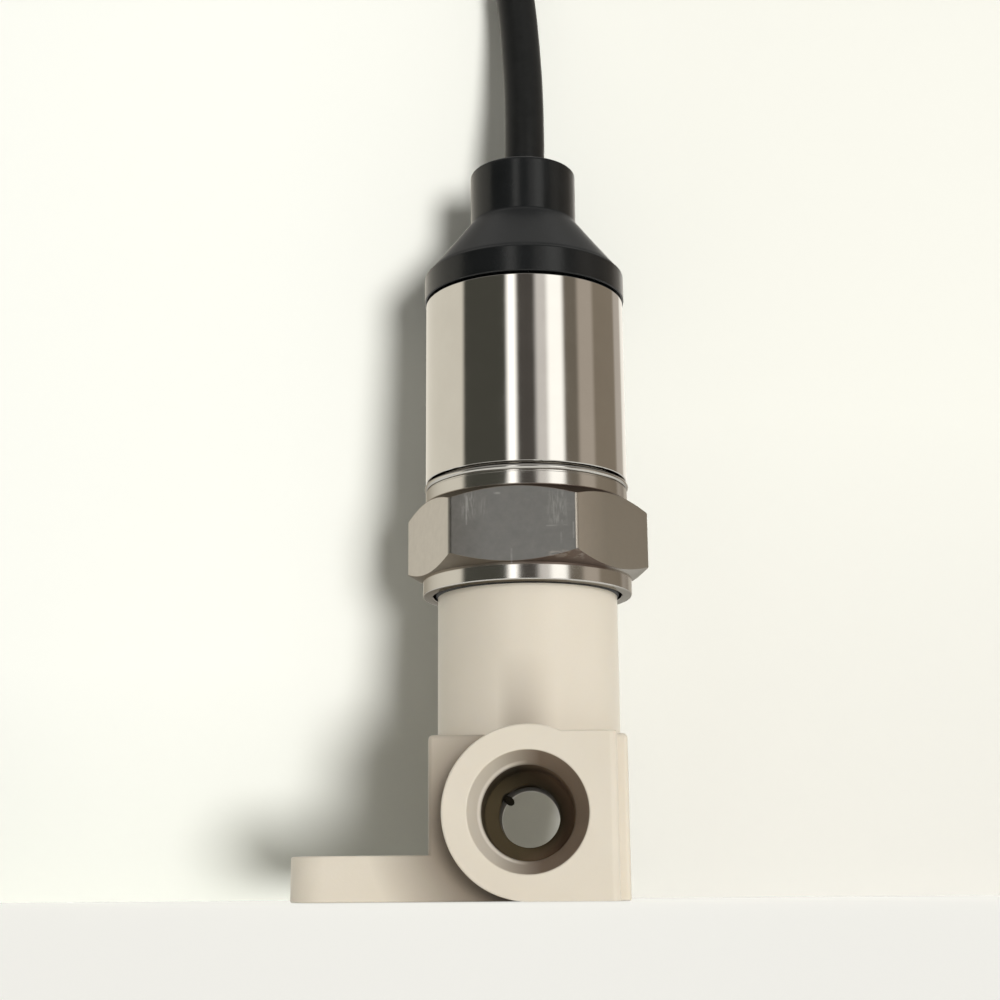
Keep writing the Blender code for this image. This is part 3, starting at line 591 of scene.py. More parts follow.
def port_boss():
    """The boss, round on one side and square on the other."""
    disc = turned(
        "boss_disc",
        [
            (0.0, BOSS_FACE),
            (BOSS_RADIUS, BOSS_FACE),
            (BOSS_RADIUS, 0.0),
            (0.0, 0.0),
        ],
    )
    lay_along_y(disc, BOSS_RADIUS + SLIVER)
    round_side = cube(
        "round_side",
        (-BOSS_FACE, -BOSS_FACE - 1.0, -1.0),
        (BOSS_RADIUS / 2, 1.0, 2 * BOSS_FACE),
    )
    combine(disc, round_side, "INTERSECT")
    slab = cube(
        "boss",
        (0.0, -BOSS_FACE, SLIVER),
        (BOSS_SIDE, BLOCK_ROUND - BLOCK_HALF - 10 * SLIVER, BLOCK_TOP),
    )
    bevel_edges(
        slab,
        lambda edge: middle_of(edge).x > 9 and middle_of(edge).y < -15 and is_upright(edge),
        BOSS_CORNER,
        10,
    )
    combine(slab, disc, "UNION")
    start_edit(slab)
    bpy.ops.mesh.select_all(action="SELECT")
    bpy.ops.mesh.dissolve_limited(angle_limit=math.radians(0.5))
    end_edit()
    return bevel_edges(
        slab,
        lambda edge: is_sharp(edge) and middle_of(edge).y < -2 and middle_of(edge).z > 0.2,
        0.25,
        3,
    )


def port_neck():
    """The round neck, its seal groove, its spigot and the seat of the measuring cell."""
    groove_low = COLLAR_BOTTOM + 0.15
    groove_high = groove_low + 2.0
    return turned(
        "neck",
        [
            (0.0, PLATEAU_TOP),
            (5.05, PLATEAU_TOP),
            (5.05, 42.4),
            (6.95, 42.4),
            (6.95, PLATEAU_TOP),
            (9.0, PLATEAU_TOP),
            (9.0, SPIGOT_TOP),
            (NECK_RADIUS - 0.2, SPIGOT_TOP),
            (NECK_RADIUS, SPIGOT_TOP - 0.2),
            (NECK_RADIUS, groove_high),
            (10.0, groove_high),
            (10.0, groove_low),
            (NECK_RADIUS, groove_low),
            (NECK_RADIUS, BLOCK_TOP / 2),
            (0.0, BLOCK_TOP / 2),
        ],
    )


def port_bore():
    """The tapered mouth, the bore, its shoulder and the narrow way through to the back."""
    rim = 0.2
    cut = turned(
        "bore",
        [
            (0.0, BOSS_FACE + 1.0),
            (MOUTH_RADIUS + rim, BOSS_FACE + 1.0),
            (MOUTH_RADIUS + rim, BOSS_FACE + 0.05),
            *quarter((MOUTH_RADIUS + rim, BOSS_FACE - rim), rim, 100, 150, 3),
            (BORE_RADIUS + 0.12, BOSS_FACE - MOUTH_DEPTH + 0.12),
            (BORE_RADIUS, BOSS_FACE - MOUTH_DEPTH - 0.1),
            (BORE_RADIUS, BORE_END),
            (BORE_RADIUS - 0.15, BORE_END - 0.15),
            (THROUGH_RADIUS + 0.2, BORE_END - 0.48),
            (THROUGH_RADIUS, BORE_END - 0.7),
            (THROUGH_RADIUS, -BLOCK_HALF + 0.3),
            (THROUGH_RADIUS + 0.3, -BLOCK_HALF),
            (THROUGH_RADIUS + 0.3, -BLOCK_HALF - 1.0),
            (0.0, -BLOCK_HALF - 1.0),
        ],
    )
    return lay_along_y(cut, BOSS_RADIUS)


def moulding_flash():
    """The crumb of flash left at the inner end of the bore."""
    deselect_all()
    bpy.ops.mesh.primitive_ico_sphere_add(
        subdivisions=2,
        radius=0.4 * MM,
        location=[place * MM for place in FLASH_AT],
        scale=(1.3, 1.0, 1.85),
        rotation=(0.0, math.radians(-53), 0.0),
    )
    return apply_place(named(bpy.context.object, "flash"))


def make_port(plastic):
    """Block, foot, boss and neck in one moulding, with its bore, passage and screw hole."""
    body = port_block()
    combine(body, port_foot(), "UNION")
    combine(body, port_boss(), "UNION")
    combine(body, port_neck(), "UNION")
    combine(body, port_bore(), "DIFFERENCE")
    combine(body, bar("passage", PASSAGE_RADIUS, BOSS_RADIUS, PLATEAU_TOP + 1.0), "DIFFERENCE")
    hole = turned(
        "screw_hole",
        [
            (0.0, FOOT_TOP + 1.0),
            (SCREW_HOLE_RADIUS + 1.3, FOOT_TOP + 1.0),
            (SCREW_HOLE_RADIUS, FOOT_TOP - 0.3),
            (SCREW_HOLE_RADIUS, 0.3),
            (SCREW_HOLE_RADIUS + 1.3, -1.0),
            (0.0, -1.0),
        ],
        steps=64,
    )
    hole.location.x = SCREW_HOLE_X * MM
    combine(body, apply_place(hole), "DIFFERENCE")
    combine(body, moulding_flash(), "UNION")
    smooth(body, 30)
    return finish_piece(body, plastic, "port_plastic", "port_body")


# Steel pieces


def make_hex(milled_and_reflected):
    """Socket collar, chamfered hex, upper collar, bead and register, in one piece."""
    deselect_all()
    bpy.ops.mesh.primitive_cylinder_add(
        vertices=6,
        radius=HEX_ACROSS_FLATS * MM / math.sqrt(3),
        depth=(HEX_TOP - HEX_BOTTOM) * MM,
        location=(0.0, 0.0, (HEX_BOTTOM + HEX_TOP) * MM / 2),
        rotation=(0.0, 0.0, math.radians(30 + HEX_TURN)),
    )
    item = apply_place(named(bpy.context.object, "hex"))
    bevel_edges(item, is_upright, 0.3, 4)
    drop = (HEX_ACROSS_FLATS - HEX_CHAMFER_RADIUS) * math.tan(math.radians(30))
    share = (HEX_TOP - HEX_BOTTOM) / 2 / drop * 0.94
    wide = HEX_CHAMFER_RADIUS + (HEX_ACROSS_FLATS - HEX_CHAMFER_RADIUS) * share
    barrel = turned(
        "hex_chamfer",
        [
            (0.0, HEX_TOP),
            (HEX_CHAMFER_RADIUS, HEX_TOP),
            (wide, HEX_TOP - drop * share),
            (wide, HEX_BOTTOM + drop * share),
            (HEX_CHAMFER_RADIUS, HEX_BOTTOM),
            (0.0, HEX_BOTTOM),
        ],
    )
    combine(item, barrel, "INTERSECT")
    bead_middle = (BEAD_BOTTOM + BEAD_TOP) / 2
    bead = (BEAD_TOP - BEAD_BOTTOM) / 2
    body = turned(
        "hex_turned",
        [
            (0.0, REGISTER_TOP),
            (PLUG_RADIUS - 0.2, REGISTER_TOP),
            (PLUG_RADIUS, REGISTER_TOP - 0.2),
            (PLUG_RADIUS, 54.4),
            (PLUG_GROOVE_RADIUS, 54.4),
            (PLUG_GROOVE_RADIUS, 52.5),
            (PLUG_RADIUS, 52.5),
            (PLUG_RADIUS, BEAD_TOP),
            *quarter((13.15 - bead, bead_middle), bead, 90, -90, 10),
            (12.85, BEAD_BOTTOM),
            (12.85, GROOVE_BOTTOM),
            *quarter((TUBE_RADIUS - 0.12, GROOVE_BOTTOM - 0.12), 0.12, 90, 0, 3),
            (TUBE_RADIUS, HEX_TOP),
            (TUBE_RADIUS, HEX_TOP - 1.0),
            (HEX_COLLAR_RADIUS, HEX_BOTTOM + 1.0),
            (HEX_COLLAR_RADIUS, HEX_BOTTOM),
            *quarter((HEX_COLLAR_RADIUS - 0.25, COLLAR_BOTTOM + 0.25), 0.25, 0, -90, 4),
            (0.0, COLLAR_BOTTOM),
        ],
    )
    combine(item, body, "UNION")
    bores = turned(
        "hex_bores",
        [
            (0.0, REGISTER_TOP + 1.0),
            (WIRE_BORE_RADIUS, REGISTER_TOP + 1.0),
            (WIRE_BORE_RADIUS, POCKET_TOP),
            (CELL_BORE_RADIUS, POCKET_TOP),
            (CELL_BORE_RADIUS, SPIGOT_TOP + CLEARANCE),
            (SPIGOT_BORE_RADIUS, SPIGOT_TOP + CLEARANCE),
            (SPIGOT_BORE_RADIUS, 40.3),
            (SOCKET_RADIUS, 40.0),
            (SOCKET_RADIUS, COLLAR_BOTTOM + 0.15),
            (SOCKET_RADIUS + 0.15, COLLAR_BOTTOM),
            (SOCKET_RADIUS + 0.15, COLLAR_BOTTOM - 1.0),
            (0.0, COLLAR_BOTTOM - 1.0),
        ],
    )
    combine(item, bores, "DIFFERENCE")
    smooth(item, 20)
    return finish_piece(item, milled_and_reflected, "milled_steel", "hex_body")


def make_tube(steel):
    """The polished tube, with its two ends broken by a fine edge."""
    edge = 0.15
    item = turned(
        "tube",
        [
            (TUBE_BORE, TUBE_TOP),
            *quarter((TUBE_RADIUS - edge, TUBE_TOP - edge), edge, 90, 0, 3),
            (TUBE_RADIUS, TUBE_TOP - 8.0),
            (TUBE_RADIUS, TUBE_BOTTOM + 8.0),
            *quarter((TUBE_RADIUS - edge, TUBE_BOTTOM + edge), edge, 0, -90, 3),
            (TUBE_BORE, TUBE_BOTTOM),
        ],
        steps=192,
        ring=True,
    )
    smooth(item, 30)
    return finish_piece(item, steel, "polished_steel", "housing_tube")


def make_neck_ring(rubber):
    """The seal in the mouth of the hex's lower collar."""
    thick = 1.4
    radius = SOCKET_RADIUS - CLEARANCE - thick / 2
    deselect_all()
    bpy.ops.mesh.primitive_torus_add(
        major_radius=radius * MM,
        minor_radius=thick * MM / 2,
        major_segments=ROUND_STEPS,
        minor_segments=16,
        location=(0.0, 0.0, (COLLAR_BOTTOM + thick / 2 - RING_PROUD) * MM),
    )
    item = apply_place(named(bpy.context.object, "neck_ring"))
    smooth(item, 60, weighted=False)
    return finish_piece(item, rubber, "seal_rubber", "neck_seal")


# Boot


def make_boot(moulding):
    """Collar, cone, neck and the plug inside the tube, in one moulding."""
    bore = CABLE_RADIUS + CLEARANCE
    item = turned(
        "boot",
        [
            (bore, BOOT_TOP - 0.25),
            *quarter((bore + 0.25, BOOT_TOP - 0.25), 0.25, 180, 90, 3),
            *quarter((BOOT_NECK_RADIUS - 0.45, BOOT_TOP - 0.45), 0.45, 90, 0, 5),
            (BOOT_NECK_RADIUS, 91.5),
            (BOOT_NECK_RADIUS, CONE_TOP + 0.35),
            (BOOT_NECK_RADIUS + 0.06, CONE_TOP + 0.12),
            (BOOT_NECK_RADIUS + 0.3, CONE_TOP - 0.2),
            (9.95, (CONE_TOP + CONE_BOTTOM) / 2),
            (12.55, CONE_BOTTOM + 0.3),
            (12.75, CONE_BOTTOM + 0.05),
            (12.8, CONE_BOTTOM - 0.1),
            *quarter((BOOT_COLLAR_RADIUS - 0.35, BOOT_RIM - 0.05), 0.35, 80, 0, 5),
            (BOOT_COLLAR_RADIUS, BOOT_BOTTOM + 0.12),
            (BOOT_COLLAR_RADIUS - 0.12, BOOT_BOTTOM),
            (PLUG_RADIUS, BOOT_BOTTOM),
            (PLUG_RADIUS, 75.65),
            (PLUG_GROOVE_RADIUS, 75.65),
            (PLUG_GROOVE_RADIUS, 73.75),
            (PLUG_RADIUS, 73.75),
            (PLUG_RADIUS, PLUG_BOTTOM + 0.3),
            (PLUG_RADIUS - 0.3, PLUG_BOTTOM),
            (bore, PLUG_BOTTOM),
        ],
        ring=True,
    )
    smooth(item, 32)
    return finish_piece(item, moulding, "black_moulding", "gland_boot")


# Materials


def new_material(name, colour, roughness, metallic=0.0):
    """A named material with its node tree and its Principled shader."""
    made = bpy.data.materials.new(name)
    made.use_nodes = True
    tree = made.node_tree
    shader = tree.nodes["Principled BSDF"]
    shader.inputs["Base Color"].default_value = (*colour, 1.0)
    shader.inputs["Roughness"].default_value = roughness
    shader.inputs["Metallic"].default_value = metallic
    made.diffuse_color = (*colour, 1.0)
    return made, tree, shader


def node(tree, kind, links=None, **values):
    """Add a node. Values set its properties or sockets, and links feed its sockets."""
    made = tree.nodes.new(kind)
    for key, value in values.items():
        if hasattr(made, key):
            setattr(made, key, value)
        else:
            made.inputs[key.replace("_", " ")].default_value = value
    for key, source in (links or {}).items():
        tree.links.new(source, made.inputs[key])
    return made


def object_point(tree, scale=(1.0, 1.0, 1.0)):
    """Object coordinates in millimetres, stretched along the axes."""
    where = tree.nodes.new("ShaderNodeTexCoord")
    mapping = tree.nodes.new("ShaderNodeMapping")
    mapping.inputs["Scale"].default_value = [share / MM for share in scale]
    tree.links.new(where.outputs["Object"], mapping.inputs["Vector"])
    return mapping.outputs["Vector"]


def parts_of(tree, point):
    """The X, Y and Z of a point."""
    return node(tree, "ShaderNodeSeparateXYZ", {"Vector": point}).outputs


def noise(tree, point, scale, detail=4.0, roughness=0.55):
    made = node(
        tree,
        "ShaderNodeTexNoise",
        {"Vector": point},
        Scale=scale,
        Detail=detail,
        Roughness=roughness,
    )
    return made.outputs["Fac"]


def spread(tree, value, low, high, from_low=0.25, from_high=0.75):
    """Map a value onto another range."""
    made = node(
        tree,
        "ShaderNodeMapRange",
        {"Value": value},
        From_Min=from_low,
        From_Max=from_high,
        To_Min=low,
        To_Max=high,
    )
    return made.outputs["Result"]


def blend_colours(tree, share, first, second):
    made = tree.nodes.new("ShaderNodeMix")
    made.data_type = "RGBA"
    tree.links.new(share, made.inputs[0])
    for socket, colour in ((made.inputs[6], first), (made.inputs[7], second)):
        if isinstance(colour, tuple):
            socket.default_value = (*colour, 1.0)
        else:
            tree.links.new(colour, socket)
    return made.outputs[2]


def math_node(tree, operation, first, second=None):
    made = tree.nodes.new("ShaderNodeMath")
    made.operation = operation
    for socket, value in zip(made.inputs, (first, second), strict=False):
        if value is None:
            continue
        if isinstance(value, (int, float)):
            socket.default_value = value
        else:
            tree.links.new(value, socket)
    return made.outputs["Value"]


def product(tree, first, *others):
    for other in others:
        first = math_node(tree, "MULTIPLY", first, other)
    return first


def distance(tree, first, second):
    """Distance worked out from two runs at right angles."""
    squares = math_node(tree, "ADD", product(tree, first, first), product(tree, second, second))
    return math_node(tree, "SQRT", squares)


def band(tree, value, low, high, soft=0.08):
    """1 between two values and 0 beyond them."""
    rise = spread(tree, value, 0.0, 1.0, low - soft, low + soft)
    fall = spread(tree, value, 1.0, 0.0, high - soft, high + soft)
    return product(tree, rise, fall)


def bump(tree, shader, height, depth):
    """Relief in millimetres."""
    made = node(tree, "ShaderNodeBump", {"Height": height}, Strength=1.0, Distance=depth * MM)
    tree.links.new(made.outputs["Normal"], shader.inputs["Normal"])


def show_mixed(tree, share, first, second):
    """Show the second surface in place of the first by its share."""
    shown = node(tree, "ShaderNodeMixShader", {"Fac": share})
    tree.links.new(first.outputs[0], shown.inputs[1])
    tree.links.new(second.outputs[0], shown.inputs[2])
    tree.links.new(shown.outputs["Shader"], tree.nodes["Material Output"].inputs["Surface"])


def from_bore_axis(tree, place):
    """Distance from the axis of the bore in millimetres."""
    return distance(tree, place["X"], math_node(tree, "SUBTRACT", place["Z"], BOSS_RADIUS))


def painted_bore_shade(tree, place):
    """Painted shade: the bore is coloured dark behind its tapered mouth."""
    inside = spread(
        tree, from_bore_axis(tree, place), 1.0, 0.0, BORE_RADIUS + 0.03, BORE_RADIUS + 0.1
    )
    deep = BOSS_FACE - MOUTH_DEPTH
    behind = spread(tree, place["Y"], 0.0, 1.0, -deep - 0.1, -deep + 0.5)
    before = spread(tree, place["Y"], 1.0, 0.3, BLOCK_HALF - 3.0, BLOCK_HALF - 0.3)
    return product(tree, inside, behind, before)


def mouth_shade(tree, place):
    """Painted shade: the tapered mouth is coloured dark on its right."""
    radius = from_bore_axis(tree, place)
    inside = spread(tree, radius, 1.0, 0.0, MOUTH_RADIUS, MOUTH_RADIUS + 0.1)
    behind = spread(tree, place["Y"], 0.0, 1.0, 0.05 - BOSS_FACE, 0.2 - BOSS_FACE)
    towards = spread(tree, place["X"], 0.15, 0.95, -4.0, 1.5)
    return product(tree, inside, behind, towards)


def painted_lip_highlight(tree, place):
    """Painted highlight: the edge between the tapered mouth and the bore is coloured pale on its
    left.
    """
    ring = band(
        tree, from_bore_axis(tree, place), BORE_RADIUS + 0.12, BORE_RADIUS + 0.42, 0.08
    )
    deep = BOSS_FACE - MOUTH_DEPTH
    in_mouth = spread(tree, place["Y"], 1.0, 0.0, 0.05 - deep, 0.15 - deep)
    left = spread(tree, place["X"], 1.0, 0.0, -2.5, 0.0)
    return product(tree, ring, in_mouth, left)


def painted_boss_shadow(tree, place):
    """Painted shadow beside the round side of the boss and in its corner with the foot."""
    near = spread(
        tree, from_bore_axis(tree, place), 1.0, 0.0, BOSS_RADIUS + 0.3, BOSS_RADIUS + 9.5
    )
    left = spread(tree, place["X"], 0.9, 0.0, -2.0, 5.0)
    low = spread(tree, place["Z"], 1.0, 0.7, FOOT_TOP, BLOCK_TOP)
    front = spread(tree, place["Y"], 1.0, 0.0, 0.3 - BLOCK_HALF, 1.0 - BLOCK_HALF)
    outside = spread(tree, place["Y"], 0.0, 1.0, -BLOCK_HALF - 0.4, -BLOCK_HALF - 0.1)
    return product(tree, near, left, low, front, outside)


def plastic_material():
    """Ivory plastic, moulded smooth, a little translucent, with faint flow clouds, painted shade in
    the mouth and bore, a painted highlight on the lip and a painted shadow beside the boss.
    """
    made, tree, shader = new_material("ivory_plastic", (0.71, 0.655, 0.56), 0.36)
    point = object_point(tree)
    clouds = noise(tree, point, 0.09, 3.0)
    colour = blend_colours(
        tree, spread(tree, clouds, 0.0, 1.0), (0.70, 0.64, 0.545), (0.725, 0.67, 0.58)
    )
    place = parts_of(tree, point)
    # Painted shade on the right of the tapered mouth.
    colour = blend_colours(tree, mouth_shade(tree, place), colour, (0.20, 0.145, 0.105))
    # Painted highlight on the left of the edge between mouth and bore.
    colour = blend_colours(tree, painted_lip_highlight(tree, place), colour, (0.86, 0.80, 0.71))
    # Painted shade in the bore, near black on its left wall and dark brown on its right.
    bore_shade = painted_bore_shade(tree, place)
    to_right = spread(tree, place["X"], 0.0, 1.0, -1.5, 3.5)
    in_bore = spread(tree, place["Y"], 1.0, 0.0, 0.2 - BORE_END, 0.5 - BORE_END)
    to_right = product(tree, to_right, in_bore)
    bore_shade_tones = blend_colours(tree, to_right, (0.088, 0.068, 0.038), (0.27, 0.18, 0.115))
    colour = blend_colours(tree, bore_shade, colour, bore_shade_tones)
    crumb = node(tree, "ShaderNodeVectorMath", {0: point}, operation="DISTANCE")
    crumb.inputs[1].default_value = FLASH_AT
    burnt = spread(tree, crumb.outputs["Value"], 1.0, 0.0, 0.9, 1.1)
    colour = blend_colours(tree, burnt, colour, (0.012, 0.010, 0.006))
    # Painted shadow of the boss on the block's face and on the foot.
    colour = blend_colours(tree, painted_boss_shadow(tree, place), colour, (0.13, 0.092, 0.06))
    tree.links.new(colour, shader.inputs["Base Color"])
    fine = noise(tree, point, 3.0, 5.0)
    satin = spread(tree, fine, 0.32, 0.42)
    rough = math_node(tree, "MAXIMUM", satin, product(tree, bore_shade, 0.9))
    tree.links.new(rough, shader.inputs["Roughness"])
    bump(tree, shader, fine, 0.012)
    shader.inputs["Subsurface Weight"].default_value = 0.12
    shader.inputs["Subsurface Radius"].default_value = (1.0, 0.8, 0.55)
    shader.inputs["Subsurface Scale"].default_value = 1.2 * MM
    shader.inputs["Specular IOR Level"].default_value = 0.5
    return made


def polished_material():
    """Polished stainless tube, with very fine rings left round it by the polishing."""
    made, tree, shader = new_material("polished_steel", (0.60, 0.585, 0.56), 0.12, 1.0)
    rings = noise(tree, object_point(tree, (0.05, 0.05, 6.0)), 2.0, 4.0, 0.6)
    stains = noise(tree, object_point(tree), 0.25, 5.0, 0.6)
    tree.links.new(spread(tree, stains, 0.065, 0.105), shader.inputs["Roughness"])
    colour = blend_colours(
        tree, spread(tree, stains, 0.0, 1.0), (0.585, 0.57, 0.545), (0.615, 0.60, 0.575)
    )
    tree.links.new(colour, shader.inputs["Base Color"])
    bump(tree, shader, rings, 0.0012)
    return made


# Rubbed patches and scratches on the hex's front flat: from and to across it, from and to in
# height, softness of the edge and strength.
HEX_RUBS = [
    (-7.6, -6.2, 45.2, 48.2, 0.45, 0.65),
    (-5.6, -4.6, 45.4, 47.4, 0.40, 0.30),
    (2.9, 5.0, 44.0, 48.2, 0.50, 0.45),
]
HEX_SCRATCHES = [
    (-7.2, -7.05, 44.3, 47.9, 0.08, 0.75),
    (-3.8, -3.0, 48.02, 48.2, 0.10, 0.80),
    (2.5, 5.1, 43.78, 43.92, 0.07, 0.50),
    (4.25, 4.4, 41.6, 43.0, 0.10, 0.30),
    (-1.75, -1.6, 39.4, 41.2, 0.09, 0.55),
    (5.75, 5.9, 42.2, 44.2, 0.09, 0.40),
]
HEX_WORN = [(2.9, 7.0, 40.15, 40.75, 0.20, 0.75)]


def soft_boxes(tree, place, boxes):
    """The strongest of some soft-edged boxes in X and Z."""
    total = None
    for left, right, low, high, soft, strength in boxes:
        across = band(tree, place["X"], left, right, soft)
        up = band(tree, place["Z"], low, high, soft)
        box = product(tree, across, up, strength)
        total = box if total is None else math_node(tree, "MAXIMUM", total, box)
    return total


def hex_marks(tree, point, place):
    """Rubbed patches in upright streaks, and scratches that come and go."""
    streaks = noise(tree, object_point(tree, (2.2, 1.0, 0.4)), 1.7, 3.0)
    streaks = spread(tree, streaks, 0.0, 1.0, 0.42, 0.68)
    rubbed = product(tree, soft_boxes(tree, place, HEX_RUBS), streaks)
    faint = spread(tree, noise(tree, point, 0.9, 2.0), 0.25, 1.0, 0.38, 0.60)
    scratched = product(tree, soft_boxes(tree, place, HEX_SCRATCHES), faint)
    front = spread(tree, place["Y"], 1.0, 0.0, -12.0, -11.5)
    return product(tree, math_node(tree, "MAXIMUM", rubbed, scratched), front)


def hex_chamfer_share(tree, place):
    """1 on the conical chamfers of the hex, worked out from the distance to its axis."""
    past = math_node(tree, "SUBTRACT", distance(tree, place["X"], place["Y"]), HEX_CHAMFER_RADIUS)
    drop = product(tree, past, math.tan(math.radians(30)))
    up = math_node(tree, "SUBTRACT", place["Z"], HEX_BOTTOM)
    down = math_node(tree, "SUBTRACT", HEX_TOP, place["Z"])
    nearest = math_node(tree, "MINIMUM", up, down)
    return spread(tree, math_node(tree, "SUBTRACT", nearest, drop), 1.0, 0.0, 0.02, 0.07)


def milled_material():
    """Stainless steel, milled dull on the hex and turned bright on the collars, with painted
    reflections and shade on the hex and painted shade under the lower collar.
    """
    made, tree, shader = new_material("milled_steel", (0.42, 0.41, 0.40), 0.36, 1.0)
    point = object_point(tree)
    place = parts_of(tree, point)
    on_hex = band(tree, place["Z"], HEX_BOTTOM, HEX_TOP, 0.05)
    marks = noise(tree, object_point(tree, (0.5, 0.5, 4.0)), 1.2, 6.0, 0.65)
    grain = noise(tree, point, 0.8, 6.0, 0.6)
    dull = math_node(tree, "ADD", spread(tree, marks, 0.32, 0.42), spread(tree, grain, 0.0, 0.06))
    bright = spread(tree, grain, 0.09, 0.16)
    rough = node(tree, "ShaderNodeMix", {0: on_hex, 2: bright, 3: dull})
    tree.links.new(rough.outputs[0], shader.inputs["Roughness"])
    # Painted reflections on the hex's flats: the left flat pale, the front flat dark and darkest on
    # its left, the right flat pale and darker towards its far side.
    across = place["X"]
    left_flat = spread(tree, across, 1.0, 0.0, -9.5, -9.3)
    right_flat = spread(tree, across, 0.0, 1.0, 6.3, 6.5)
    fading = spread(tree, across, 0.0, 1.0, 6.5, 10.0)
    right_tone = blend_colours(tree, fading, (0.74, 0.70, 0.645), (0.56, 0.535, 0.485))
    shaded = spread(tree, across, 0.0, 1.0, -9.0, -4.5)
    middle_tone = blend_colours(tree, shaded, (0.155, 0.15, 0.14), (0.205, 0.205, 0.20))
    milled_and_reflected = blend_colours(tree, left_flat, middle_tone, (0.75, 0.725, 0.69))
    milled_and_reflected = blend_colours(tree, right_flat, milled_and_reflected, right_tone)
    milled_and_reflected = blend_colours(tree, spread(tree, grain, 0.0, 0.22), milled_and_reflected, (0.50, 0.48, 0.46))
    # The hex's chamfers are coloured darker on the right, painted shade, and pale at the far right,
    # a painted reflection.
    chamfer_right = spread(tree, across, 0.0, 1.0, -3.0, 2.0)
    chamfer_tone = blend_colours(tree, chamfer_right, (0.25, 0.22, 0.185), (0.18, 0.14, 0.12))
    far_right = spread(tree, across, 0.0, 1.0, 9.5, 12.0)
    chamfer_tone = blend_colours(tree, far_right, chamfer_tone, (0.55, 0.53, 0.50))
    milled_and_reflected = blend_colours(tree, hex_chamfer_share(tree, place), milled_and_reflected, chamfer_tone)
    torn = noise(tree, object_point(tree, (0.7, 1.0, 2.4)), 1.3, 4.0)
    torn = spread(tree, torn, 0.0, 1.0, 0.44, 0.62)
    worn = product(tree, soft_boxes(tree, place, HEX_WORN), torn)
    milled_and_reflected = blend_colours(tree, worn, milled_and_reflected, (0.50, 0.46, 0.42))
    # A painted highlight along the edge between the front and right flats.
    edge = band(tree, across, 6.08, 6.36, 0.05)
    edge = product(tree, edge, band(tree, place["Z"], 41.0, 47.8))
    milled_and_reflected = blend_colours(tree, edge, milled_and_reflected, (0.62, 0.58, 0.52))
    milled_and_reflected = blend_colours(tree, hex_marks(tree, point, place), milled_and_reflected, (0.50, 0.50, 0.48))
    # Painted shade on the underside of the lower collar, lighter towards the right.
    under_collar_shade = spread(tree, place["Z"], 1.0, 0.0, COLLAR_BOTTOM + 0.02, COLLAR_BOTTOM + 0.12)
    under_right = spread(tree, across, 0.0, 1.0, 2.0, 10.0)
    under_collar_shade_tone = blend_colours(tree, under_right, (0.20, 0.18, 0.15), (0.50, 0.49, 0.47))
    collar_tone_and_shade = blend_colours(tree, under_collar_shade, (0.60, 0.585, 0.56), under_collar_shade_tone)
    colour = blend_colours(tree, on_hex, collar_tone_and_shade, milled_and_reflected)
    tree.links.new(colour, shader.inputs["Base Color"])
    shader.inputs["Specular Tint"].default_value = (0.45, 0.43, 0.40, 1.0)
    bump(tree, shader, marks, 0.003)
    return made


def moulding_material():
    """Black moulded boot, satin, with a faint grain."""
    made, tree, shader = new_material("black_moulding", (0.008, 0.009, 0.010), 0.34)
    point = object_point(tree)
    fine = noise(tree, point, 2.5, 6.0)
    cloud = noise(tree, point, 0.2, 3.0)
    tree.links.new(spread(tree, cloud, 0.19, 0.26), shader.inputs["Roughness"])
    shader.inputs["Specular IOR Level"].default_value = 0.33
    colour = blend_colours(
        tree, spread(tree, cloud, 0.0, 1.0), (0.005, 0.006, 0.0065), (0.009, 0.010, 0.011)
    )
    tree.links.new(colour, shader.inputs["Base Color"])
    bump(tree, shader, fine, 0.010)
    return made


def jacket_material():
    """Dark cable jacket, extruded smooth, with faint scuffs."""
    made, tree, shader = new_material("cable_jacket", (0.007, 0.0075, 0.0075), 0.36)
    point = object_point(tree)
    scuffs = noise(tree, point, 0.6, 6.0, 0.65)
    tree.links.new(spread(tree, scuffs, 0.34, 0.46), shader.inputs["Roughness"])
    shader.inputs["Specular IOR Level"].default_value = 0.3
    colour = blend_colours(
        tree, spread(tree, scuffs, 0.0, 1.0), (0.005, 0.0055, 0.0055), (0.010, 0.0105, 0.0105)
    )
    tree.links.new(colour, shader.inputs["Base Color"])
    bump(tree, shader, noise(tree, point, 3.0, 4.0), 0.008)
    return made


def simple_material(name, colour, roughness, metallic=0.0, grain=1.0, relief=0.006):
    """A plain finish with faint clouds in its colour and gloss, and a fine relief."""
    made, tree, shader = new_material(name, colour, roughness, metallic)
    point = object_point(tree)
    cloud = noise(tree, point, 0.5 * grain, 4.0)
    darker = tuple(c * 0.88 for c in colour)
    lighter = tuple(min(1.0, c * 1.08) for c in colour)
    tree.links.new(
        blend_colours(tree, spread(tree, cloud, 0.0, 1.0), darker, lighter),
        shader.inputs["Base Color"],
    )
    tree.links.new(
        spread(tree, cloud, roughness * 0.88, roughness * 1.12), shader.inputs["Roughness"]
    )
    bump(tree, shader, noise(tree, point, 4.0 * grain, 4.0), relief)
    return made


def board_material():
    """Green solder mask over faint copper tracks."""
    made, tree, shader = new_material("green_board", (0.02, 0.16, 0.07), 0.40)
    tracks = node(
        tree,
        "ShaderNodeTexBrick",
        {"Vector": object_point(tree)},
        Scale=0.8,
        Mortar_Size=0.03,
    ).outputs["Fac"]
    colour = blend_colours(tree, tracks, (0.016, 0.14, 0.06), (0.03, 0.20, 0.09))
    tree.links.new(colour, shader.inputs["Base Color"])
    tree.links.new(
        spread(tree, noise(tree, object_point(tree), 1.0), 0.34, 0.46),
        shader.inputs["Roughness"],
    )
    bump(tree, shader, tracks, 0.02)
    return made


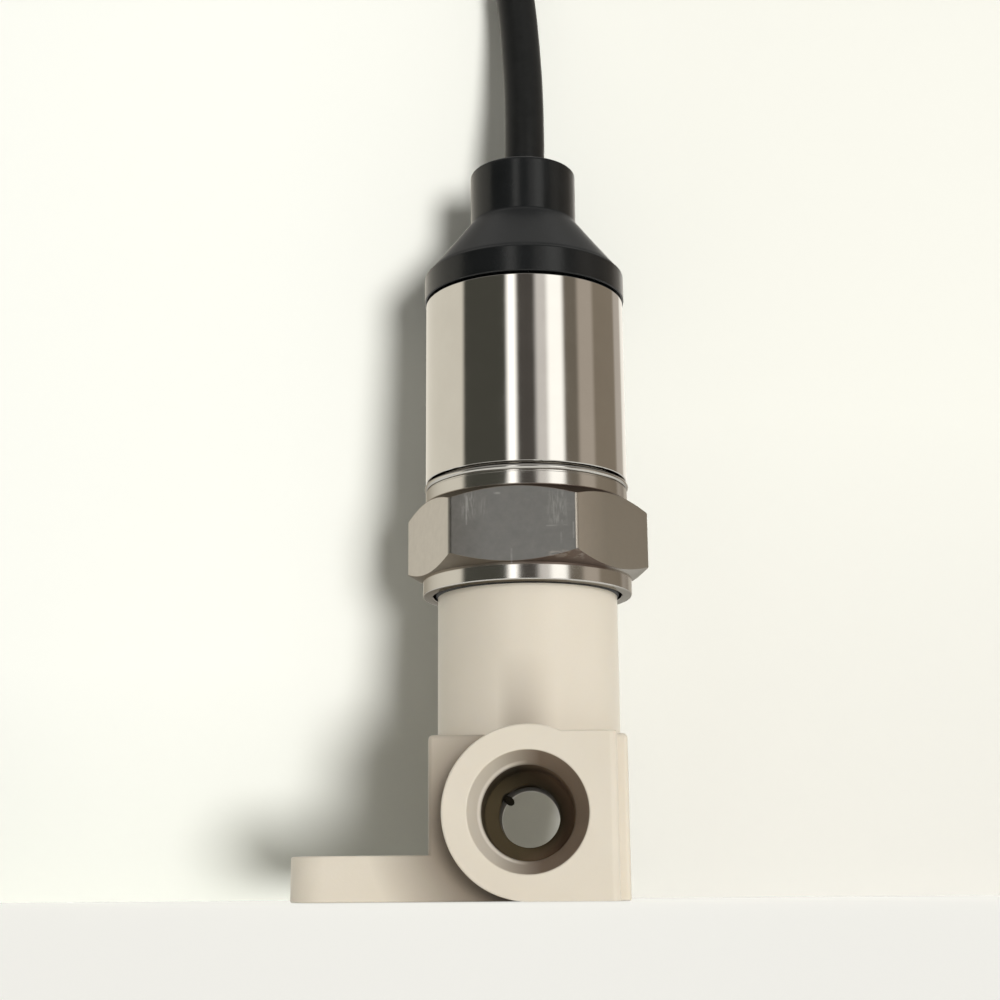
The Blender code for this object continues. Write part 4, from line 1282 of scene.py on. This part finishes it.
def dress_inner_nodes(jacket, rubber, nylon, tinned, insulations):
    """Give each solid that stays a finish of its own slot."""
    finishes = {
        "media_seal": rubber,
        "housing_seal": rubber,
        "boot_seal": rubber,
        "pressure_cell": simple_material("white_ceramic", (0.82, 0.81, 0.78), 0.35, grain=2.0),
        "cell_spacer": nylon,
        "board_carrier": nylon,
        "cable_clamp": nylon,
        "circuit_board": board_material(),
        "amplifier_chip": simple_material("chip_black", (0.02, 0.02, 0.022), 0.5, grain=3.0),
        "cable_inner_end": jacket,
        "supply_wire": insulations["supply"],
        "signal_wire": insulations["signal"],
        "ground_wire": insulations["ground"],
    }
    can = simple_material("capacitor_can", (0.72, 0.72, 0.72), 0.32, 1.0)
    trimmer = simple_material("trimmer_blue", (0.03, 0.11, 0.42), 0.42, grain=2.0)
    finishes.update({"filter_capacitor_a": can, "filter_capacitor_b": can})
    finishes.update({"zero_trimmer": trimmer, "span_trimmer": trimmer})
    finishes.update({f"cell_pin_{i}": tinned for i in range(1, 5)})
    for name, finish in finishes.items():
        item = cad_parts[name]
        item.data.materials.clear()
        item.data.materials.append(finish)


# Surroundings

# The studio as the steel shows it, going round from the left of the back over the front:
# where each tone ends in degrees from the front, and its tone.
STUDIO = [
    (-74.0, (0.92, 0.87, 0.75)),
    (-19.5, (0.085, 0.083, 0.068)),
    (-9.0, (2.10, 2.05, 1.95)),
    (13.0, (0.100, 0.090, 0.080)),
    (26.5, (0.88, 0.84, 0.79)),
    (45.5, (1.70, 1.67, 1.58)),
    (64.0, (0.22, 0.19, 0.15)),
    (86.0, (0.56, 0.49, 0.41)),
    (127.0, (0.31, 0.26, 0.20)),
    (148.0, (0.60, 0.54, 0.47)),
    (180.0, (1.15, 1.10, 1.00)),
]
# Half the width of the blend between two tones, in degrees.
STUDIO_BLUR = 2.5


def studio_ramp(tree):
    """Tones by compass direction, from an azimuth of -180 to 180 degrees."""
    towards = parts_of(tree, node(tree, "ShaderNodeTexCoord").outputs["Generated"])
    ahead = product(tree, towards["Y"], -1.0)
    azimuth = math_node(tree, "ARCTAN2", towards["X"], ahead)
    share = math_node(tree, "ADD", math_node(tree, "DIVIDE", azimuth, 2 * math.pi), 0.5)
    ramp = node(tree, "ShaderNodeValToRGB", {"Fac": share})
    stops = []
    start = -180.0
    for end, tone in STUDIO:
        inset = min(STUDIO_BLUR, (end - start) / 2.2)
        stops.append((start + (inset if start > -180 else 0), tone))
        stops.append((end - (inset if end < 180 else 0), tone))
        start = end
    elements = ramp.color_ramp.elements
    while len(elements) < len(stops):
        elements.new(0.5)
    for element, (angle, tone) in zip(elements, stops, strict=True):
        element.position = (angle + 180.0) / 360.0
        element.color = (*tone, 1.0)
    return ramp.outputs["Color"], towards["X"], towards["Z"]


BACKGROUND = (0.975, 0.965, 0.91)
# The share of the floor's own glow where the camera and the steel see it.
FLOOR_GLOW = 0.7
# The tones above the stripes and overhead, and what matt surfaces get from left and right.
UPPER_ROOM = (0.30, 0.29, 0.27)
OVERHEAD = (0.50, 0.49, 0.47)
FILL_LEFT = (0.22, 0.216, 0.209)
FILL_RIGHT = (0.37, 0.363, 0.352)
# The card's tones, on the left and on the right, each above and at the foot: darker towards the
# right and at the foot, painted shade.
CARD_LEFT_TONES = ((0.568, 0.570, 0.532), (0.50, 0.505, 0.468))
CARD_RIGHT_TONES = ((0.537, 0.534, 0.492), (0.452, 0.445, 0.418))
# The card leans forward to clear the boot, and sweeps back to the floor behind the block.
CARD_FOOT = 24.0
CARD_LEAN = 7.5
CARD_SWEEP = 7.5
CARD_SWEEP_TOP = 60.0
CARD_LEFT = -86.0
CARD_RIGHT = 95.0
CARD_TOP = 141.0
FLOOR_WIDTH = 6000.0


def make_world():
    """Stripes for the steel, an even fill for matt surfaces, and the pale background."""
    world = bpy.data.worlds.new("studio")
    bpy.context.scene.world = world
    world.use_nodes = True
    tree = world.node_tree
    tree.nodes.clear()
    out = node(tree, "ShaderNodeOutputWorld")
    ray = node(tree, "ShaderNodeLightPath")
    tones, across, height = studio_ramp(tree)
    above = spread(tree, height, 0.0, 1.0, 0.42, 0.58)
    seen = blend_colours(tree, above, tones, UPPER_ROOM)
    overhead = spread(tree, height, 0.0, 1.0, 0.80, 0.92)
    seen = blend_colours(tree, overhead, seen, OVERHEAD)
    from_right = spread(tree, across, 0.0, 1.0, -0.9, 0.9)
    fill = blend_colours(tree, from_right, FILL_LEFT, FILL_RIGHT)
    shown = blend_colours(tree, ray.outputs["Is Glossy Ray"], fill, seen)
    direct = math_node(
        tree, "MAXIMUM", ray.outputs["Is Camera Ray"], ray.outputs["Is Transmission Ray"]
    )
    tone = blend_colours(tree, direct, shown, BACKGROUND)
    light = node(tree, "ShaderNodeBackground", {"Color": tone})
    tree.links.new(light.outputs["Background"], out.inputs["Surface"])


def card_material():
    """Pale paper that takes the shadow, see-through from behind, with painted shade towards its
    right and its foot.
    """
    paper, tree, shader = new_material("pale_card", CARD_LEFT_TONES[0], 0.9)
    tree.nodes.remove(shader)
    place = parts_of(tree, object_point(tree))
    across = spread(tree, place["X"], 0.0, 1.0, -35.0, 25.0)
    at_foot = spread(tree, place["Z"], 1.0, 0.0, 2.0, 32.0)
    low = spread(tree, place["Z"], 1.0, 0.0, 5.0, 65.0)
    on_left = blend_colours(tree, at_foot, *CARD_LEFT_TONES)
    on_right = blend_colours(tree, low, *CARD_RIGHT_TONES)
    colour = blend_colours(tree, across, on_left, on_right)
    matt = node(tree, "ShaderNodeBsdfDiffuse", {"Color": colour})
    clear = node(tree, "ShaderNodeBsdfTransparent")
    side = node(tree, "ShaderNodeNewGeometry")
    show_mixed(tree, side.outputs["Backfacing"], matt, clear)
    return paper


def floor_material():
    """Pale floor that keeps a soft shadow and glows to the camera and in the steel."""
    floor, tree, shader = new_material("pale_floor", BACKGROUND, 0.9)
    tree.nodes.remove(shader)
    matt = node(tree, "ShaderNodeBsdfDiffuse", Color=(*BACKGROUND, 1.0))
    glow = node(tree, "ShaderNodeEmission", Color=(*BACKGROUND, 1.0))
    ray = node(tree, "ShaderNodeLightPath")
    direct = math_node(
        tree, "MAXIMUM", ray.outputs["Is Camera Ray"], ray.outputs["Is Glossy Ray"]
    )
    direct = math_node(tree, "MAXIMUM", direct, ray.outputs["Is Transmission Ray"])
    show_mixed(tree, product(tree, direct, FLOOR_GLOW), matt, glow)
    return floor


def make_backdrop():
    """A pale card close behind the transducer, see-through from behind, and a pale floor."""
    deselect_all()
    bpy.ops.mesh.primitive_grid_add(x_subdivisions=2, y_subdivisions=48, size=1)
    card = named(bpy.context.object, "backdrop_card")
    card.rotation_euler = (math.radians(90), 0.0, 0.0)
    card.scale = ((CARD_RIGHT - CARD_LEFT) * MM, CARD_TOP * MM, 1.0)
    card.location = ((CARD_LEFT + CARD_RIGHT) * MM / 2, 0.0, CARD_TOP * MM / 2)
    apply_place(card)
    start_edit(card)
    sheet = bmesh.from_edit_mesh(card.data)
    for corner in sheet.verts:
        height = corner.co.z / MM
        sweep = CARD_SWEEP * max(0.0, 1.0 - height / CARD_SWEEP_TOP) ** 2
        lean = height * math.tan(math.radians(CARD_LEAN))
        corner.co.y = (CARD_FOOT - lean + sweep) * MM
    bmesh.update_edit_mesh(card.data)
    end_edit()
    smooth(card, 60, weighted=False)
    card.data.materials.append(card_material())
    card.visible_glossy = False
    deselect_all()
    bpy.ops.mesh.primitive_plane_add(size=FLOOR_WIDTH * MM, location=(0, 0, 0))
    floor = named(bpy.context.object, "floor")
    floor.location.z = -0.1 * MM
    floor.data.materials.append(floor_material())
    apply_place(floor)
    return card, floor


def named_group(name, items):
    group = bpy.data.collections.new(name)
    for item in items:
        group.objects.link(item)
    return group


def add_sun(name, azimuth, height, width, energy, lit, tint=(1.0, 0.985, 0.955)):
    """A sun from an azimuth round from the front to the right, for the objects in lit only."""
    light = bpy.data.lights.new(name, "SUN")
    light.energy = energy
    light.color = tint
    light.angle = math.radians(width)
    holder = bpy.data.objects.new(name, light)
    bpy.context.scene.collection.objects.link(holder)
    turn = math.radians(azimuth)
    rise = math.radians(height)
    towards = Vector(
        (
            math.sin(turn) * math.cos(rise),
            -math.cos(turn) * math.cos(rise),
            math.sin(rise),
        )
    )
    holder.rotation_euler = towards.to_track_quat("Z", "Y").to_euler()
    holder.visible_glossy = False
    holder.light_linking.receiver_collection = named_group(f"lit_by_{name}", lit)
    return holder


def make_lights(card, floor):
    """Lights that throw the shadows on the card and the floor, and two on the transducer."""
    pieces = [item for item in bpy.data.objects if item.type in {"MESH", "CURVE"}]
    pieces = [item for item in pieces if item not in (card, floor)]
    shadow_pieces = named_group("shadow_pieces", pieces)
    for light in (
        add_sun("card_light", 23, -6.5, 17, 4.55, [card], (1.0, 1.0, 1.0)),
        add_sun("floor_light", 20, 55, 70, 1.2, [floor], (1.0, 1.0, 1.0)),
    ):
        light.light_linking.blocker_collection = shadow_pieces
    add_sun("key", 16, 6, 22, 2.05, pieces)
    add_sun("side", 72, 18, 50, 0.4, pieces)


def make_transducer():
    """Every piece of the transducer, and the finishes of the solids that stay."""
    jacket = jacket_material()
    rubber = simple_material("black_rubber", (0.012, 0.012, 0.012), 0.6)
    nylon = simple_material("natural_nylon", (0.66, 0.64, 0.56), 0.48)
    tinned = simple_material("tinned_copper", (0.70, 0.69, 0.66), 0.28, 1.0)
    insulations = {
        "supply": simple_material("red_insulation", (0.45, 0.02, 0.015), 0.4, grain=2.0),
        "signal": simple_material("white_insulation", (0.75, 0.74, 0.70), 0.4, grain=2.0),
        "ground": simple_material("blue_insulation", (0.02, 0.06, 0.35), 0.4, grain=2.0),
    }
    make_cable(jacket, rubber, nylon, tinned, insulations)
    make_port(plastic_material())
    make_hex(milled_material())
    make_tube(polished_material())
    make_neck_ring(rubber)
    make_boot(moulding_material())
    dress_inner_nodes(jacket, rubber, nylon, tinned, insulations)


make_camera()
make_transducer()
make_world()
make_lights(*make_backdrop())
bpy.context.scene.view_settings.view_transform = "Standard"
